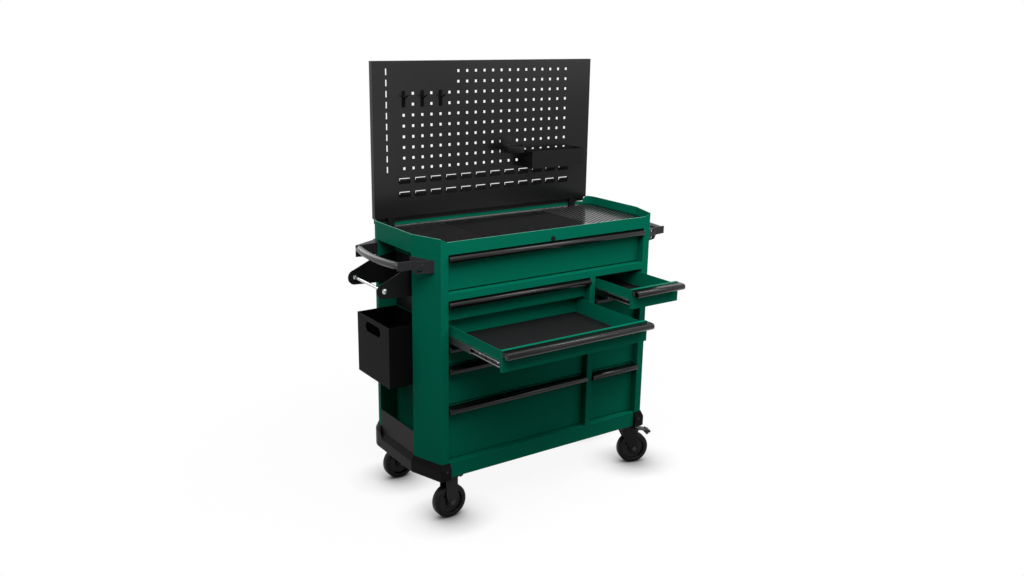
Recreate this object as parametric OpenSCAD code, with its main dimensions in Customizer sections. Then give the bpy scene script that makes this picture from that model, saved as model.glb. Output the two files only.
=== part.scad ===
// Wheeled tool cabinet with a recessed worktop, a perforated back board,
// ten drawers on telescopic slides, end niches and four casters.
// Frame: +X to the right seen from the front, +Y to the back, +Z up,
// origin on the floor below the middle of the cabinet. Millimetres.

/* [Cabinet] */
// Width across the two ends
body_w = 1000; // [960:5:1200]
// Sideways step of the angled front corners
corner_w = 41; // [30:1:50]
// Width of the front frame's stiles
stile_w = 29; // [24:1:40]
// Depth of the body
body_d = 440; // [430:5:520]
// How far the angled front corners run back
corner_run = 124; // [100:1:150]
// Radius of the rear corners
rear_r = 65; // [40:1:70]
// Flat stretch of the rear post before its rounded corner
rear_flat = 5; // [2:1:12]
// Underside of the body above the floor
base_z = 164; // [160:1:190]
// Thickness of the body's sheet steel
sheet = 1.5; // [1.2:0.1:2.5]
// Height of the front band above the top drawer
front_band_h = 44; // [40:1:60]
// Height of the band on the two ends
end_band_h = 65; // [60:1:75]

/* [Worktop] */
// Thickness of the hemmed rim
rim_t = 3; // [2:0.5:5]
// How much lower the rim is at the front
rim_drop = 12; // [6:1:16]
// How much lower the rim is at the rear
rear_rim_drop = 32; // [20:1:34]
// Length of the slope between the two rim levels
rim_slope = 24; // [12:1:40]
// Depth from the end rims down to the steel deck
deck_drop = 37; // [35:1:40]
// Thickness of the worktop mat
mat_t = 6; // [3:0.5:9]
// Gap round the mat
mat_gap = 0.5; // [0.2:0.1:2]
// Length of the ribbed zone at each end of the mat
rib_zone = 270; // [150:1:320]
// Border left plain round the ribs
rib_border = 16; // [8:1:30]
// Spacing of the ribs
rib_pitch = 15; // [10:1:24]
// Width of the groove between two ribs
rib_groove = 7; // [4:0.5:9]
// Depth of the grooves
rib_depth = 2; // [1:0.25:2.5]
// Slant of the ribs
rib_angle = 30; // [0:1:60]

/* [Drawer bays] */
// Clear width of the right column
right_w = 228; // [180:1:300]
// Thickness of the wall between the two columns
divider_w = 24; // [16:1:30]
// Height of the rail under the drawers
bottom_rail_h = 58; // [50:1:80]
// Height of the rail under the top drawer
mid_rail_h = 26; // [18:1:40]
// Front height of the top drawer
top_h = 124; // [100:1:150]
// Front height of a shallow drawer
shallow_h = 72; // [66:1:90]
// Front height of a medium drawer
medium_h = 140; // [110:1:170]
// Front height of a deep drawer
deep_h = 198; // [150:1:220]
// Gap between two fronts
front_gap = 6; // [4:0.5:10]
// Gap between a front and the rail above or below it
edge_gap = 4; // [3:0.5:8]
// Gap at each side of a front
side_gap = 3; // [2:0.5:5]

/* [Drawers] */
// How far the fronts lie behind the face of the frame
recess = 26; // [20:1:34]
// Depth of a drawer's folded front
front_t = 12; // [9:1:16]
// Sheet thickness of the drawers
tray_t = 1.2; // [1:0.1:2]
// Length of the drawer boxes behind their fronts
tray_len = 372; // [320:1:378]
// Clearance under a drawer box
tray_lift = 6; // [5:0.5:10]
// Step from a front's top edge down to the drawer sides
tray_step = 6; // [2:0.5:8]
// How far the open left drawer stands out
left_pulled = 342; // [0:1:350]
// How far the open right drawer stands out
right_pulled = 226; // [0:1:350]

/* [Slides] */
// Height of a slide
slide_h = 26; // [22:1:32]
// Thickness of a slide, from the bay wall to the drawer side
slide_t = 12.5; // [11:0.5:14]
// Metal thickness of the slide members
rail_t = 1.2; // [0.8:0.1:1.4]
// Running clearance between two slide members
rail_gap = 0.4; // [0.3:0.05:0.6]
// Underside of a slide above the drawer box's underside
slide_lift = 2; // [1:0.5:6]
// Gap between the back of a closed front and the slides
slide_setback = 2; // [1:0.5:6]
// Length of the slide members
slide_len = 370; // [300:1:376]

/* [Pulls] */
// Radius of the pull's bar
pull_r = 11.5; // [9:0.5:12]
// Distance from a front to the middle of its pull's bar
pull_reach = 26; // [24:1:32]
// Wall thickness of the pull's profile
pull_t = 3; // [2:0.5:4]
// Height of the flange that fastens the pull to its front
pull_flange = 22; // [16:1:28]
// Clearance under the top edge of the front
pull_drop = 1; // [0:0.5:2]

/* [Lock] */
// Radius of the lock's barrel
lock_r = 7.5; // [6:0.5:7.5]
// Radius of the lock's bezel
lock_bezel_r = 9; // [8.5:0.5:11]
// Length of the barrel behind the bezel
lock_len = 20; // [12:1:22]
// Height of the lock's middle above the band's lower edge
lock_rise = 9; // [9:0.5:9.5]
// Running clearance of round parts that turn
turn_gap = 0.05; // [0.02:0.01:0.1]

/* [Bumpers] */
// How far the bumpers stand out
bumper_t = 12; // [6:1:16]
// How far the bumpers reach below the body
bumper_low = 6; // [0:1:6]
// Height of the bumpers above the body's underside
bumper_h = 57; // [40:1:70]
// How much higher the bumpers reach at the rear corners
bumper_rise = 24; // [0:1:40]
// Height of the bumper's sloping top
bumper_slope = 20; // [8:1:30]
// Thickness of the bumper's upper lip
bumper_lip = 3; // [2:0.5:6]
// Rounding under the bumper
bumper_round = 5; // [2:0.5:6]
// Length of the bumper's return on the front and rear
bumper_lap = 34; // [15:1:40]

/* [Push bars] */
// Radius of the push bars
bar_r = 12.5; // [9:0.5:15]
// Distance from the cabinet's end to the farthest point of a bar
bar_reach = 97; // [90:1:130]
// Bow of a bar
bar_bow = 20; // [14:1:40]
// Distance between a bar's two ends
bar_span = 300; // [260:1:320]
// Middle of the bars behind the middle of the cabinet
bar_y = -8; // [-12:1:0]
// Height of the bars below the end rims
bar_drop = 88; // [85:1:115]
// Thickness of the brackets' plates
bracket_t = 9; // [6:1:12]
// Height of a bracket
bracket_h = 42; // [36:1:50]
// Middle of the brackets below the middle of the bars
bracket_low = 8; // [0:1:8]
// Length of a bracket's foot along the angled corner
bracket_foot = 97; // [80:1:98]
// Length of the sleeve between a bracket's plate and the bar's end
sleeve_len = 39; // [30:1:45]
// Wall of the sleeve above and below the bar
sleeve_t = 2; // [1:0.5:3]
// Length of the two slots in a bracket's plate
bracket_slot_w = 21; // [14:1:24]
// Height of the two slots in a bracket's plate
bracket_slot_h = 10; // [6:1:12]

/* [Back board] */
// Distance from the ends of the body to the sides of the board
board_side = 16; // [0:1:40]
// Height of the board
board_h = 554; // [540:2:700]
// Gap between the front rim's level and the board
board_lift = 8; // [2:1:20]
// Depth of the board's folded edge
board_d = 20; // [14:1:24]
// Distance from the rear of the body to the face of the board
board_in = 20; // [20:1:40]
// Spacing of the square holes
peg_pitch = 38; // [38:0.1:38.2]
// Side of a square hole
peg_hole = 9.5; // [7:0.1:12]
// Distance from the top edge to the first row of holes
peg_top = 37; // [30:1:45]
// Holes in a row
peg_columns = 20; // [14:1:20]
// Rows of holes
peg_rows = 10; // [8:1:10]
// Width of a louvre
louvre_w = 46; // [30:1:50]
// Height of a louvre
louvre_h = 20; // [14:1:24]
// How far a louvre stands out
louvre_d = 7; // [4:0.5:10]
// Louvres in a row
louvre_count = 12; // [6:1:12]
// How far the slot behind a louvre reaches past its sides
louvre_gap = 2; // [0:0.5:4]
// Distance from the board's sides to its posts
post_in = 55; // [24:1:80]
// Depth of the posts that carry the board
post_d = 12; // [8:1:14]
// Width of the posts that carry the board
post_w = 26; // [24:1:40]
// Height of the posts above the worktop
post_h = 150; // [100:1:170]
// Height of the cross rail between the posts
cross_h = 40; // [24:1:60]
// How far the cross rail reaches below the board
cross_low = 18; // [6:1:20]
// Gap between the cross rail and the board's folded sides
cross_gap = 1; // [0.5:0.5:4]

/* [Board fittings] */
// Length of a hook's prong
hook_len = 40; // [30:1:80]
// Radius of a hook's prong
hook_r = 2.5; // [2:0.25:4]
// Length of the prong's tapered end
hook_point = 12; // [6:1:20]
// Upward slant of the prongs
hook_tilt = 24; // [0:1:40]
// Middle of the cup ring, right of the middle of the board
cup_x = 80; // [40:1:90]
// Middle of the cup ring below the top of the board
cup_down = 327; // [300:1:345]
// Gap between the cup ring and its back plate
cup_stand_off = 14; // [8:1:24]
// Inner radius of the cup ring
cup_r = 37; // [30:1:45]
// Height of the cup ring
cup_h = 24; // [15:1:40]
// Left side of the can pocket, right of the middle of the board
can_x = 157; // [140:1:180]
// Underside of the can pocket below the top of the board
can_down = 407; // [390:1:410]
// Width of the can pocket
can_w = 253; // [120:1:280]
// Depth of the can pocket
can_d = 70; // [50:1:90]
// Height of the can pocket
can_h = 66; // [40:1:90]

/* [End niche fittings] */
// How far the bin stands out past the cabinet's end
bin_reach = 88; // [60:1:110]
// Height of the bin
bin_h = 220; // [160:1:240]
// Top of the bin below the end rims
bin_drop = 316; // [290:1:350]
// Gap at each side of the bin in the niche
bin_gap = 4; // [2:0.5:10]
// Wall thickness of the bin
bin_t = 2; // [1.5:0.5:4]
// Length of the bin's hand hole
hand_w = 110; // [80:1:130]
// Height of the bin's hand hole
hand_h = 36; // [26:1:44]
// Distance from the cabinet's end to the roll spindle
roll_reach = 96; // [85:1:110]
// Height of the roll spindle below the end rims
roll_drop = 188; // [176:1:210]
// Radius of the ears round the spindle
ear_r = 27; // [20:1:32]
// Thickness of the roll holder's steel
ear_t = 2.5; // [2:0.5:4]
// Radius of the roll spindle
spindle_r = 5; // [4:0.5:8]
// Gap between the roll holder and the niche at its ends
roll_gap = 8; // [4:1:20]
// Height of the pocket panel above the underside of the body
pocket_h = 148; // [90:1:180]
// Row of hanging slots below the end rims
hang_drop = 101; // [96:1:104]
// Spacing of the hanging slots
hang_pitch = 38; // [30:1:45]
// Distance from the rear post to the first slot
hang_in = 25; // [20:1:40]
// Width of a hanging slot
hang_w = 8; // [5:1:12]
// Height of a hanging slot
hang_h = 10; // [6:1:12]

/* [Casters] */
// Wheel diameter
wheel_d = 125; // [110:1:130]
// Wheel width
wheel_w = 38; // [36:1:50]
// Axle radius
axle_r = 6; // [4:0.5:8]
// Rigid axles inwards from the edge of the flat front
rigid_in_x = 49; // [38:1:60]
// Swivel axes inwards from the edge of the flat front
swivel_in_x = 49; // [44:1:70]
// Casters inwards from the cabinet's front and rear
caster_in_y = 33; // [33:1:60]
// Trail of the swivel casters
trail = 36; // [24:1:40]
// Turn of the front swivel caster towards the front
front_turn = 20; // [0:1:90]
// Turn of the rear swivel caster towards the front
rear_turn = 0; // [0:1:90]
// Width of the rigid forks' legs
leg_w = 46; // [36:1:48]
// Depth of a caster's mounting plate
plate_d = 60; // [60:1:64]
// Clear distance from a mounting plate to the edge of the flat front
plate_margin = 8; // [6:1:14]
// Thickness of the caster's mounting plates
plate_t = 6; // [4:0.5:7]
// Thickness of the fork's steel
fork_t = 3; // [2.5:0.5:4]
// Gap between wheel and fork at each side
fork_gap = 2; // [1:0.5:2.5]
// Length of the brake pedal beyond its pin
pedal_len = 64; // [45:1:70]
// Width of the brake pedal
pedal_w = 36; // [28:1:40]

/* [Hidden] */
$fn = 48;
arc_steps = 10;
green = "#00644c";
black = "#17181a";
grey = "#3a3c3e";
zinc = "#b9bdc1";
steel = "#8f9498";

// Levels, from the floor up
pan_z = base_z + sheet;
bay_z = base_z + bottom_rail_h;
column_h = 3 * shallow_h + medium_h + deep_h + 4 * front_gap + 2 * edge_gap;
column_top_z = bay_z + column_h;
top_bay_z = column_top_z + mid_rail_h;
band_z = top_bay_z + top_h + 2 * edge_gap;
low_rim_z = band_z + front_band_h;
rim_z = low_rim_z + rim_drop;
rear_rim_z = rim_z - rear_rim_drop;
end_band_z = rim_z - end_band_h;
deck_z = rim_z - deck_drop;
mat_z = deck_z + mat_t;
board_z = low_rim_z + board_lift;

// Widths that follow from the overall width
front_w = body_w - 2 * corner_w;
bay_w = front_w - 2 * stile_w;
board_w = body_w - 2 * board_side;

// Faces across the depth and the width
face_y = -body_d / 2;
rear_y = body_d / 2;
front_y = face_y + recess;
tray_y = front_y + front_t;
slide_y = tray_y + slide_setback;
board_y = rear_y - board_in;
bay_x = bay_w / 2;
wall_x = bay_x + sheet;
niche_y0 = face_y + corner_run;
niche_y1 = rear_y - rear_r - rear_flat;
divider_x1 = bay_x - right_w;
divider_x0 = divider_x1 - divider_w;

// Sideways step of the angled corner for each millimetre of depth
corner_slope = corner_w / corner_run;

// Points along an arc
function arc(middle, r, from, to) =
    [for (i = [0:arc_steps]) let (a = from + (to - from) * i / arc_steps) middle + r * [cos(a), sin(a)]];

// Outline of the body seen from above, anticlockwise
outline = concat(
    [[-front_w / 2, face_y], [front_w / 2, face_y], [body_w / 2, niche_y0]],
    arc([body_w / 2 - rear_r, rear_y - rear_r], rear_r, 0, 90),
    arc([rear_r - body_w / 2, rear_y - rear_r], rear_r, 90, 180),
    [[-body_w / 2, niche_y0]]);

// A convex anticlockwise outline moved inwards by t, or outwards where t is negative
function unit(p, q) = (q - p) / norm(q - p);
function left_of(v) = [-v.y, v.x];
function moved_corner(a, b, c, t) =
    let (n = left_of(unit(a, b)), m = left_of(unit(b, c))) b + t * (n + m) / (1 + n * m);
function inset(points, t) =
    let (n = len(points))
    [for (i = [0:n - 1]) moved_corner(points[(i + n - 1) % n], points[i], points[(i + 1) % n], t)];

// Fronts of a column from the top down: name, left and right bay wall, lower and upper edge, pulled out
function height_above(heights, i) = i == 0 ? 0 : heights[i - 1] + front_gap + height_above(heights, i - 1);
function column(name, x0, x1, heights, pulled) =
    [for (i = [0:len(heights) - 1])
        let (top = column_top_z - edge_gap - height_above(heights, i))
        [str(name, "_", i + 1), x0, x1, top - heights[i], top, pulled[i]]];

tall_h = 2 * shallow_h + front_gap;
DRAWERS = concat(
    [["top", -bay_x, bay_x, top_bay_z + edge_gap, top_bay_z + edge_gap + top_h, 0]],
    column("left", -bay_x, divider_x0, [shallow_h, shallow_h, shallow_h, medium_h, deep_h],
           [0, left_pulled, 0, 0, 0]),
    column("right", divider_x1, bay_x, [shallow_h, tall_h, medium_h, deep_h],
           [right_pulled, 0, 0, 0]));
function d_name(d) = d[0];
function d_x0(d) = d[1];
function d_x1(d) = d[2];
function d_z0(d) = d[3];
function d_z1(d) = d[4];
function d_pulled(d) = d[5];
function d_slide_z(d) = d_z0(d) + tray_lift + slide_lift + slide_h / 2;

module slab(points, z, h) {
    translate([0, 0, z]) linear_extrude(h) polygon(points);
}

module both_ends() {
    children();
    mirror([1, 0, 0]) children();
}

// A box between two corners
module block(low, high) {
    translate(low) cube(high - low);
}

// A flat outline in X and Z, as thick as t, whose front is at y
module upright(y, t) {
    translate([0, y + t, 0]) rotate([90, 0, 0]) linear_extrude(t) children();
}

// A cylinder along Y from y0 to y1
module rod_y(x, z, r, y0, y1, sides = 48) {
    translate([x, y0, z]) rotate([-90, 0, 0]) cylinder(r = r, h = y1 - y0, $fn = sides);
}

// A closed sheet tube with a convex outline
module post(points, z, h) {
    translate([0, 0, z]) linear_extrude(h) difference() {
        polygon(points);
        polygon(inset(points, sheet));
    }
}

module end_frame() {
    frame_h = end_band_z - pan_z;
    skin_y = face_y + sheet;
    front_post = [
        [-wall_x, skin_y], [-wall_x, niche_y0], [-body_w / 2, niche_y0],
        [-front_w / 2 - sheet * corner_slope, skin_y]];
    rear_post = concat(
        [[-wall_x, niche_y1], [-wall_x, rear_y]],
        arc([rear_r - body_w / 2, rear_y - rear_r], rear_r, 90, 180),
        [[-body_w / 2, niche_y1]]);
    hang_z = rim_z - hang_drop;
    hang_count = floor((niche_y1 - niche_y0 - 2 * hang_in) / hang_pitch) + 1;
    difference() {
        block([-wall_x, skin_y, pan_z], [-bay_x, rear_y - sheet, end_band_z]);
        for (i = [0:hang_count - 1]) translate([0, niche_y1 - hang_in - i * hang_pitch, hang_z])
            block([-wall_x - 1, -hang_w / 2, -hang_h / 2], [1 - bay_x, hang_w / 2, hang_h / 2]);
    }
    post(front_post, pan_z, frame_h);
    post(rear_post, pan_z, frame_h);
}

module end_frames() {
    color(green) both_ends() end_frame();
}

module face_frame() {
    color(green) {
        upright(face_y, sheet) difference() {
            translate([-front_w / 2, pan_z]) square([front_w, end_band_z - pan_z]);
            translate([-bay_x, top_bay_z]) square([bay_w, end_band_z - top_bay_z + 1]);
            translate([-bay_x, bay_z]) square([divider_x0 + bay_x, column_h]);
            translate([divider_x1, bay_z]) square([bay_x - divider_x1, column_h]);
        }
        for (z = [column_top_z, top_bay_z - sheet])
            block([-bay_x, face_y + sheet, z], [bay_x, front_y, z + sheet]);
    }
}

module back_panel() {
    color(green) block([-wall_x, rear_y - sheet, pan_z], [wall_x, rear_y, end_band_z]);
}

// Bottom plate with the bay floor raised on a front and a rear rib
module base_pan() {
    inner_y = rear_y - sheet;
    color(green) {
        slab(outline, base_z, sheet);
        block([-bay_x, -inner_y, bay_z - sheet], [bay_x, inner_y, bay_z]);
        for (y = [-inner_y, inner_y - sheet])
            block([-bay_x, y, pan_z], [bay_x, y + sheet, bay_z - sheet]);
    }
}

module centre_wall() {
    y = rear_y - sheet;
    color(green) difference() {
        block([divider_x0, -y, bay_z], [divider_x1, y, column_top_z]);
        block([divider_x0 + sheet, sheet - y, bay_z - 1], [divider_x1 - sheet, y - sheet, column_top_z + 1]);
    }
}

// What is cut from the rim to lower it at the front, and behind the board's face
module front_dip() {
    half = front_w / 2;
    upright(face_y - 1, rim_t + 2) polygon([
        [-half, rim_z], [-half, rim_z + 1], [half, rim_z + 1], [half, rim_z],
        [half - rim_slope, low_rim_z], [rim_slope - half, low_rim_z]]);
}

module rear_dip() {
    low_y = board_y - mat_gap;
    translate([-body_w / 2 - 1, 0, 0]) rotate([90, 0, 90]) linear_extrude(body_w + 2) polygon([
        [low_y - rim_slope, rim_z], [low_y, rear_rim_z], [rear_y + 1, rear_rim_z],
        [rear_y + 1, rim_z + 1], [low_y - rim_slope, rim_z + 1]]);
}

// Rim, deck and niche ceilings in one welded tray
module worktop_tray() {
    color(green) difference() {
        union() {
            translate([0, 0, end_band_z]) linear_extrude(rim_z - end_band_z) difference() {
                polygon(outline);
                polygon(inset(outline, rim_t));
            }
            slab(inset(outline, rim_t / 2), deck_z - sheet, sheet);
            translate([0, 0, end_band_z]) linear_extrude(sheet) intersection() {
                polygon(outline);
                both_ends() translate([-body_w / 2, face_y]) square([body_w / 2 - bay_x, body_d]);
            }
        }
        block([-bay_x, face_y - 1, end_band_z - 1], [bay_x, face_y + rim_t + 1, band_z]);
        front_dip();
        rear_dip();
        rod_y(0, band_z + lock_rise, lock_r + turn_gap, face_y - 1, face_y + rim_t + 1);
    }
}

// Mat in front of the board's posts, with slanting grooves in a zone at each end
module worktop_mat() {
    mat_d = board_y - mat_gap - face_y;
    reach = norm([rib_zone, body_d]);
    count = floor(reach / 2 / rib_pitch);
    color(black) difference() {
        translate([0, 0, deck_z]) linear_extrude(mat_t) intersection() {
            polygon(inset(outline, rim_t + mat_gap));
            translate([-body_w / 2, face_y]) square([body_w, mat_d]);
        }
        translate([0, 0, mat_z - rib_depth]) linear_extrude(rib_depth + 1) both_ends() intersection() {
            polygon(inset(outline, rim_t + rib_border));
            translate([-body_w / 2, face_y]) square([rib_zone, mat_d - rib_border]);
            translate([(rib_zone - body_w) / 2, 0]) rotate(-rib_angle) for (i = [-count:count])
                translate([-reach / 2, i * rib_pitch - rib_groove / 2]) square([reach, rib_groove]);
        }
    }
}

// A solid through outlines moved outwards: each level is a height and how far the outline moves
module loft(levels) {
    n = len(outline);
    last = (len(levels) - 1) * n;
    points = [for (level = levels, p = inset(outline, -level[1])) [p.x, p.y, level[0]]];
    sides = [for (k = [0:len(levels) - 2], i = [0:n - 1]) let (a = k * n, j = (i + 1) % n)
        [a + i, a + n + i, a + n + j, a + j]];
    polyhedron(points, concat([[for (i = [0:n - 1]) i]], sides, [[for (i = [n - 1:-1:0]) last + i]]));
}

// Bumper strip round the whole body, with a sloping top
module bumper_strip(top) {
    low = base_z - bumper_low;
    difference() {
        loft([[low, bumper_t - bumper_round], [low + bumper_round, bumper_t],
              [top - bumper_slope, bumper_t], [top, bumper_lip]]);
        slab(outline, low - 1, top - low + 2);
    }
}

module end_bumpers() {
    low = base_z - bumper_low;
    top = base_z + bumper_h;
    lap_x = front_w / 2 - bumper_lap;
    rise_y = niche_y1 - bumper_rise;
    color(black) both_ends() {
        intersection() {
            bumper_strip(top);
            block([-body_w, -body_d, low], [-lap_x, body_d, top]);
        }
        intersection() {
            bumper_strip(top + bumper_rise);
            translate([-body_w, 0, 0]) rotate([90, 0, 90]) linear_extrude(body_w - lap_x) polygon([
                [rise_y, low], [body_d, low], [body_d, top + bumper_rise], [niche_y1, top + bumper_rise],
                [rise_y, top - bumper_slope]]);
        }
    }
}

// Cross-sections of the slide members: x from the bay wall, y from the slide's middle
module channel_section(x0, x1, half_h, web_x) {
    difference() {
        translate([x0, -half_h]) square([x1 - x0, 2 * half_h]);
        translate([web_x > x0 ? x0 - 1 : x0 + rail_t, rail_t - half_h])
            square([x1 - x0 - rail_t + 1, 2 * (half_h - rail_t)]);
    }
}

middle_half_h = slide_h / 2 - rail_t - rail_gap;
inner_half_h = middle_half_h - rail_t - rail_gap;
middle_x0 = rail_t + rail_gap;
inner_x0 = middle_x0 + rail_t + 2 * rail_gap;
middle_x1 = slide_t - rail_t - 2 * rail_gap;
outer_x1 = middle_x1 - rail_t;

module outer_section() {
    channel_section(0, outer_x1, slide_h / 2, 0);
}

module middle_section() {
    channel_section(middle_x0, middle_x1, middle_half_h, middle_x0);
}

module inner_section() {
    channel_section(inner_x0, slide_t, inner_half_h, slide_t);
}

// A section drawn along Y on both walls of a drawer's bay
module slide_pair(d, y) {
    for (side = [0, 1])
        translate([side == 0 ? d_x0(d) : d_x1(d), y + slide_len, d_slide_z(d)])
            mirror([side, 0, 0]) rotate([90, 0, 0]) linear_extrude(slide_len) children();
}

module slide_channels() {
    color(zinc) for (d = DRAWERS) slide_pair(d, slide_y) outer_section();
}

module midrails(d) {
    color(zinc) slide_pair(d, slide_y - d_pulled(d) / 2) middle_section();
}

// Folded front, box and the inner slide members
module drawer(d) {
    x0 = d_x0(d) + slide_t;
    x1 = d_x1(d) - slide_t;
    z0 = d_z0(d) + tray_lift;
    z1 = d_z1(d) - tray_step;
    tray_y1 = tray_y + tray_len;
    color(green) translate([0, -d_pulled(d), 0]) {
        difference() {
            block([d_x0(d) + side_gap, front_y, d_z0(d)], [d_x1(d) - side_gap, tray_y, d_z1(d)]);
            block([d_x0(d) + side_gap + tray_t, front_y + tray_t, d_z0(d) + tray_t],
                  [d_x1(d) - side_gap - tray_t, tray_y + 1, d_z1(d) - tray_t]);
        }
        difference() {
            block([x0, tray_y - tray_t, z0], [x1, tray_y1, z1]);
            block([x0 + tray_t, tray_y, z0 + tray_t], [x1 - tray_t, tray_y1 - tray_t, z1 + 1]);
        }
        block([x0, front_y, z0], [x1, tray_y, z0 + tray_t]);
    }
    color(zinc) slide_pair(d, slide_y - d_pulled(d)) inner_section();
}

// Rounded bar on a hooked profile, along the whole front
module pull(d) {
    x0 = d_x0(d) + side_gap;
    length = d_x1(d) - side_gap - x0;
    color(black) translate([x0, front_y - d_pulled(d), d_z1(d) - pull_drop])
        rotate([90, 0, 90]) linear_extrude(length) {
            translate([-pull_reach, -pull_r]) circle(pull_r);
            translate([-pull_reach, -pull_t]) square([pull_reach, pull_t]);
            translate([-pull_t, -pull_flange]) square([pull_t, pull_flange]);
        }
}

module lock_cylinder() {
    z = band_z + lock_rise;
    bezel_t = 3;
    key_w = 1.6;
    key_h = 9;
    color(steel) difference() {
        union() {
            rod_y(0, z, lock_bezel_r, face_y - bezel_t, face_y - rail_gap);
            rod_y(0, z, lock_r, face_y - bezel_t, face_y + lock_len);
        }
        block([-key_w / 2, face_y - bezel_t - 1, z - key_h / 2], [key_w / 2, face_y + lock_len / 2, z + key_h / 2]);
    }
}

// Bowed bar, a stretch of a ring seen from above
bow_r = (bar_span * bar_span / 4 + bar_bow * bar_bow) / (2 * bar_bow);
bow_half = asin(bar_span / 2 / bow_r);
bow_x = -body_w / 2 - bar_reach + bow_r;
bar_z = rim_z - bar_drop;
bracket_z = bar_z - bracket_low;
function bar_end(a, r) = [bow_x, bar_y] - r * [cos(a), sin(a)];

module push_bars() {
    color(grey) both_ends() translate([bow_x, bar_y, bar_z])
        rotate([0, 0, 180 - bow_half]) rotate_extrude(angle = 2 * bow_half)
            translate([bow_r, 0]) circle(bar_r, $fn = 32);
}

// A slot with round ends
module slot(w, h) {
    square([w - h, h], center = true);
    for (x = [h - w, w - h]) translate([x / 2, 0]) circle(d = h);
}

// Slotted plate from a foot on the angled corner to the bar's front end, where a sleeve takes the bar
module front_bracket() {
    foot_y = niche_y0 - bracket_foot;
    start = [-front_w / 2 - (foot_y - face_y) * corner_slope, foot_y];
    corner = [-body_w / 2, niche_y0];
    along = unit(start, bar_end(bow_half, bow_r));
    face = unit(start, corner);
    back = -bracket_t * left_of(along);
    out = bracket_t * left_of(face);
    bend = start + out + cross(back - out, along) / cross(face, along) * face;
    plate_len = norm(bar_end(bow_half, bow_r) - start) - sleeve_len;
    end = start + plate_len * along;
    half = bracket_h / 2;
    tip = 12;
    tip_half = bracket_h / 6;
    slot_z = bracket_h * 0.3;
    root = end - tip * along;
    sleeve_in = back / 4;
    difference() {
        translate([0, 0, bracket_z - half]) linear_extrude(bracket_h)
            polygon([start, corner, corner + out, bend, end + back, end]);
        translate([start.x, start.y, bracket_z]) rotate([0, 0, atan2(along.y, along.x)]) rotate([90, 0, 0])
            translate([0, 0, -1]) linear_extrude(bracket_t + 2) for (side = [-1, 1]) {
                translate([plate_len - sleeve_len + tip, side * slot_z]) slot(bracket_slot_w, bracket_slot_h);
                polygon([[plate_len + tip, side * (2 * tip_half - half)],
                         [plate_len - 2 * tip, side * (2 * half - tip_half)],
                         [plate_len + tip, side * (2 * half - tip_half)]]);
            }
    }
    translate([0, 0, bar_z - bar_r - sleeve_t]) linear_extrude(2 * (bar_r + sleeve_t)) polygon([
        root + sleeve_in, bar_end(bow_half, bow_r + bar_r), bar_end(bow_half, bow_r - bar_r), root + back - sleeve_in]);
}

// Foot on the rear post with an arm to the bar's rear end
module rear_bracket() {
    foot_y = rear_y - bracket_t;
    translate([0, 0, bracket_z - bracket_h / 2]) linear_extrude(bracket_h) {
        intersection() {
            polygon(inset(outline, -bracket_t));
            translate([-body_w, niche_y1]) square([body_w - wall_x, foot_y - niche_y1]);
        }
        polygon([bar_end(-bow_half, bow_r + bar_r), bar_end(-bow_half, bow_r - bar_r),
                 [-body_w / 2, niche_y1], [-body_w / 2 + rear_r / 2, foot_y]]);
    }
}

module push_brackets() {
    color(black) both_ends() {
        front_bracket();
        difference() {
            rear_bracket();
            slab(outline, bracket_z - bracket_h, 2 * bracket_h);
        }
    }
}

// Holes, slots and louvres of the board
board_top_z = board_z + board_h;
peg_x0 = -(peg_columns - 1) * peg_pitch / 2;
function peg_x(i) = peg_x0 + i * peg_pitch;
function peg_z(j) = board_top_z - peg_top - j * peg_pitch;
plain_columns = 6;
plain_rows = 2;
slot_w = 5;
slot_h = 22;
slot_pitches = 1.8;
louvre_pitches = [1.2, 2.5];
slot_x = peg_x0 - slot_pitches * peg_pitch;
louvre_z = [for (n = louvre_pitches) peg_z(peg_rows - 1) - n * peg_pitch];
louvre_step = -2 * peg_x0 / (louvre_count - 1);
post_x = (board_w - post_w) / 2 - post_in;

module pegboard() {
    louvre = [[0, -louvre_h / 2], [-louvre_d, louvre_h / 4], [-louvre_d, louvre_h / 2],
              [sheet - louvre_d, louvre_h / 2], [sheet - louvre_d, louvre_h / 4], [0, sheet - louvre_h / 4]];
    color(black) {
        upright(board_y, sheet) difference() {
            translate([-board_w / 2, board_z]) square([board_w, board_h]);
            for (i = [0:peg_columns - 1], j = [0:peg_rows - 1])
                if (i >= plain_columns || j >= plain_rows)
                    translate([peg_x(i), peg_z(j)]) square(peg_hole, center = true);
            for (j = [0:peg_rows - 1])
                translate([slot_x, peg_z(j)]) square([slot_w, slot_h], center = true);
            for (i = [0:louvre_count - 1], z = louvre_z)
                translate([peg_x0 + i * louvre_step - louvre_w / 2 - louvre_gap, z - louvre_h / 4])
                    square([louvre_w + 2 * louvre_gap, louvre_h]);
        }
        for (i = [0:louvre_count - 1], z = louvre_z)
            translate([peg_x0 + i * louvre_step - louvre_w / 2, board_y, z])
                rotate([90, 0, 90]) linear_extrude(louvre_w) polygon(louvre);
        for (x = [-board_w / 2, board_w / 2 - sheet])
            block([x, board_y, board_z], [x + sheet, board_y + board_d, board_top_z]);
        block([-board_w / 2, board_y, board_top_z - sheet], [board_w / 2, board_y + board_d, board_top_z]);
    }
}

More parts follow.
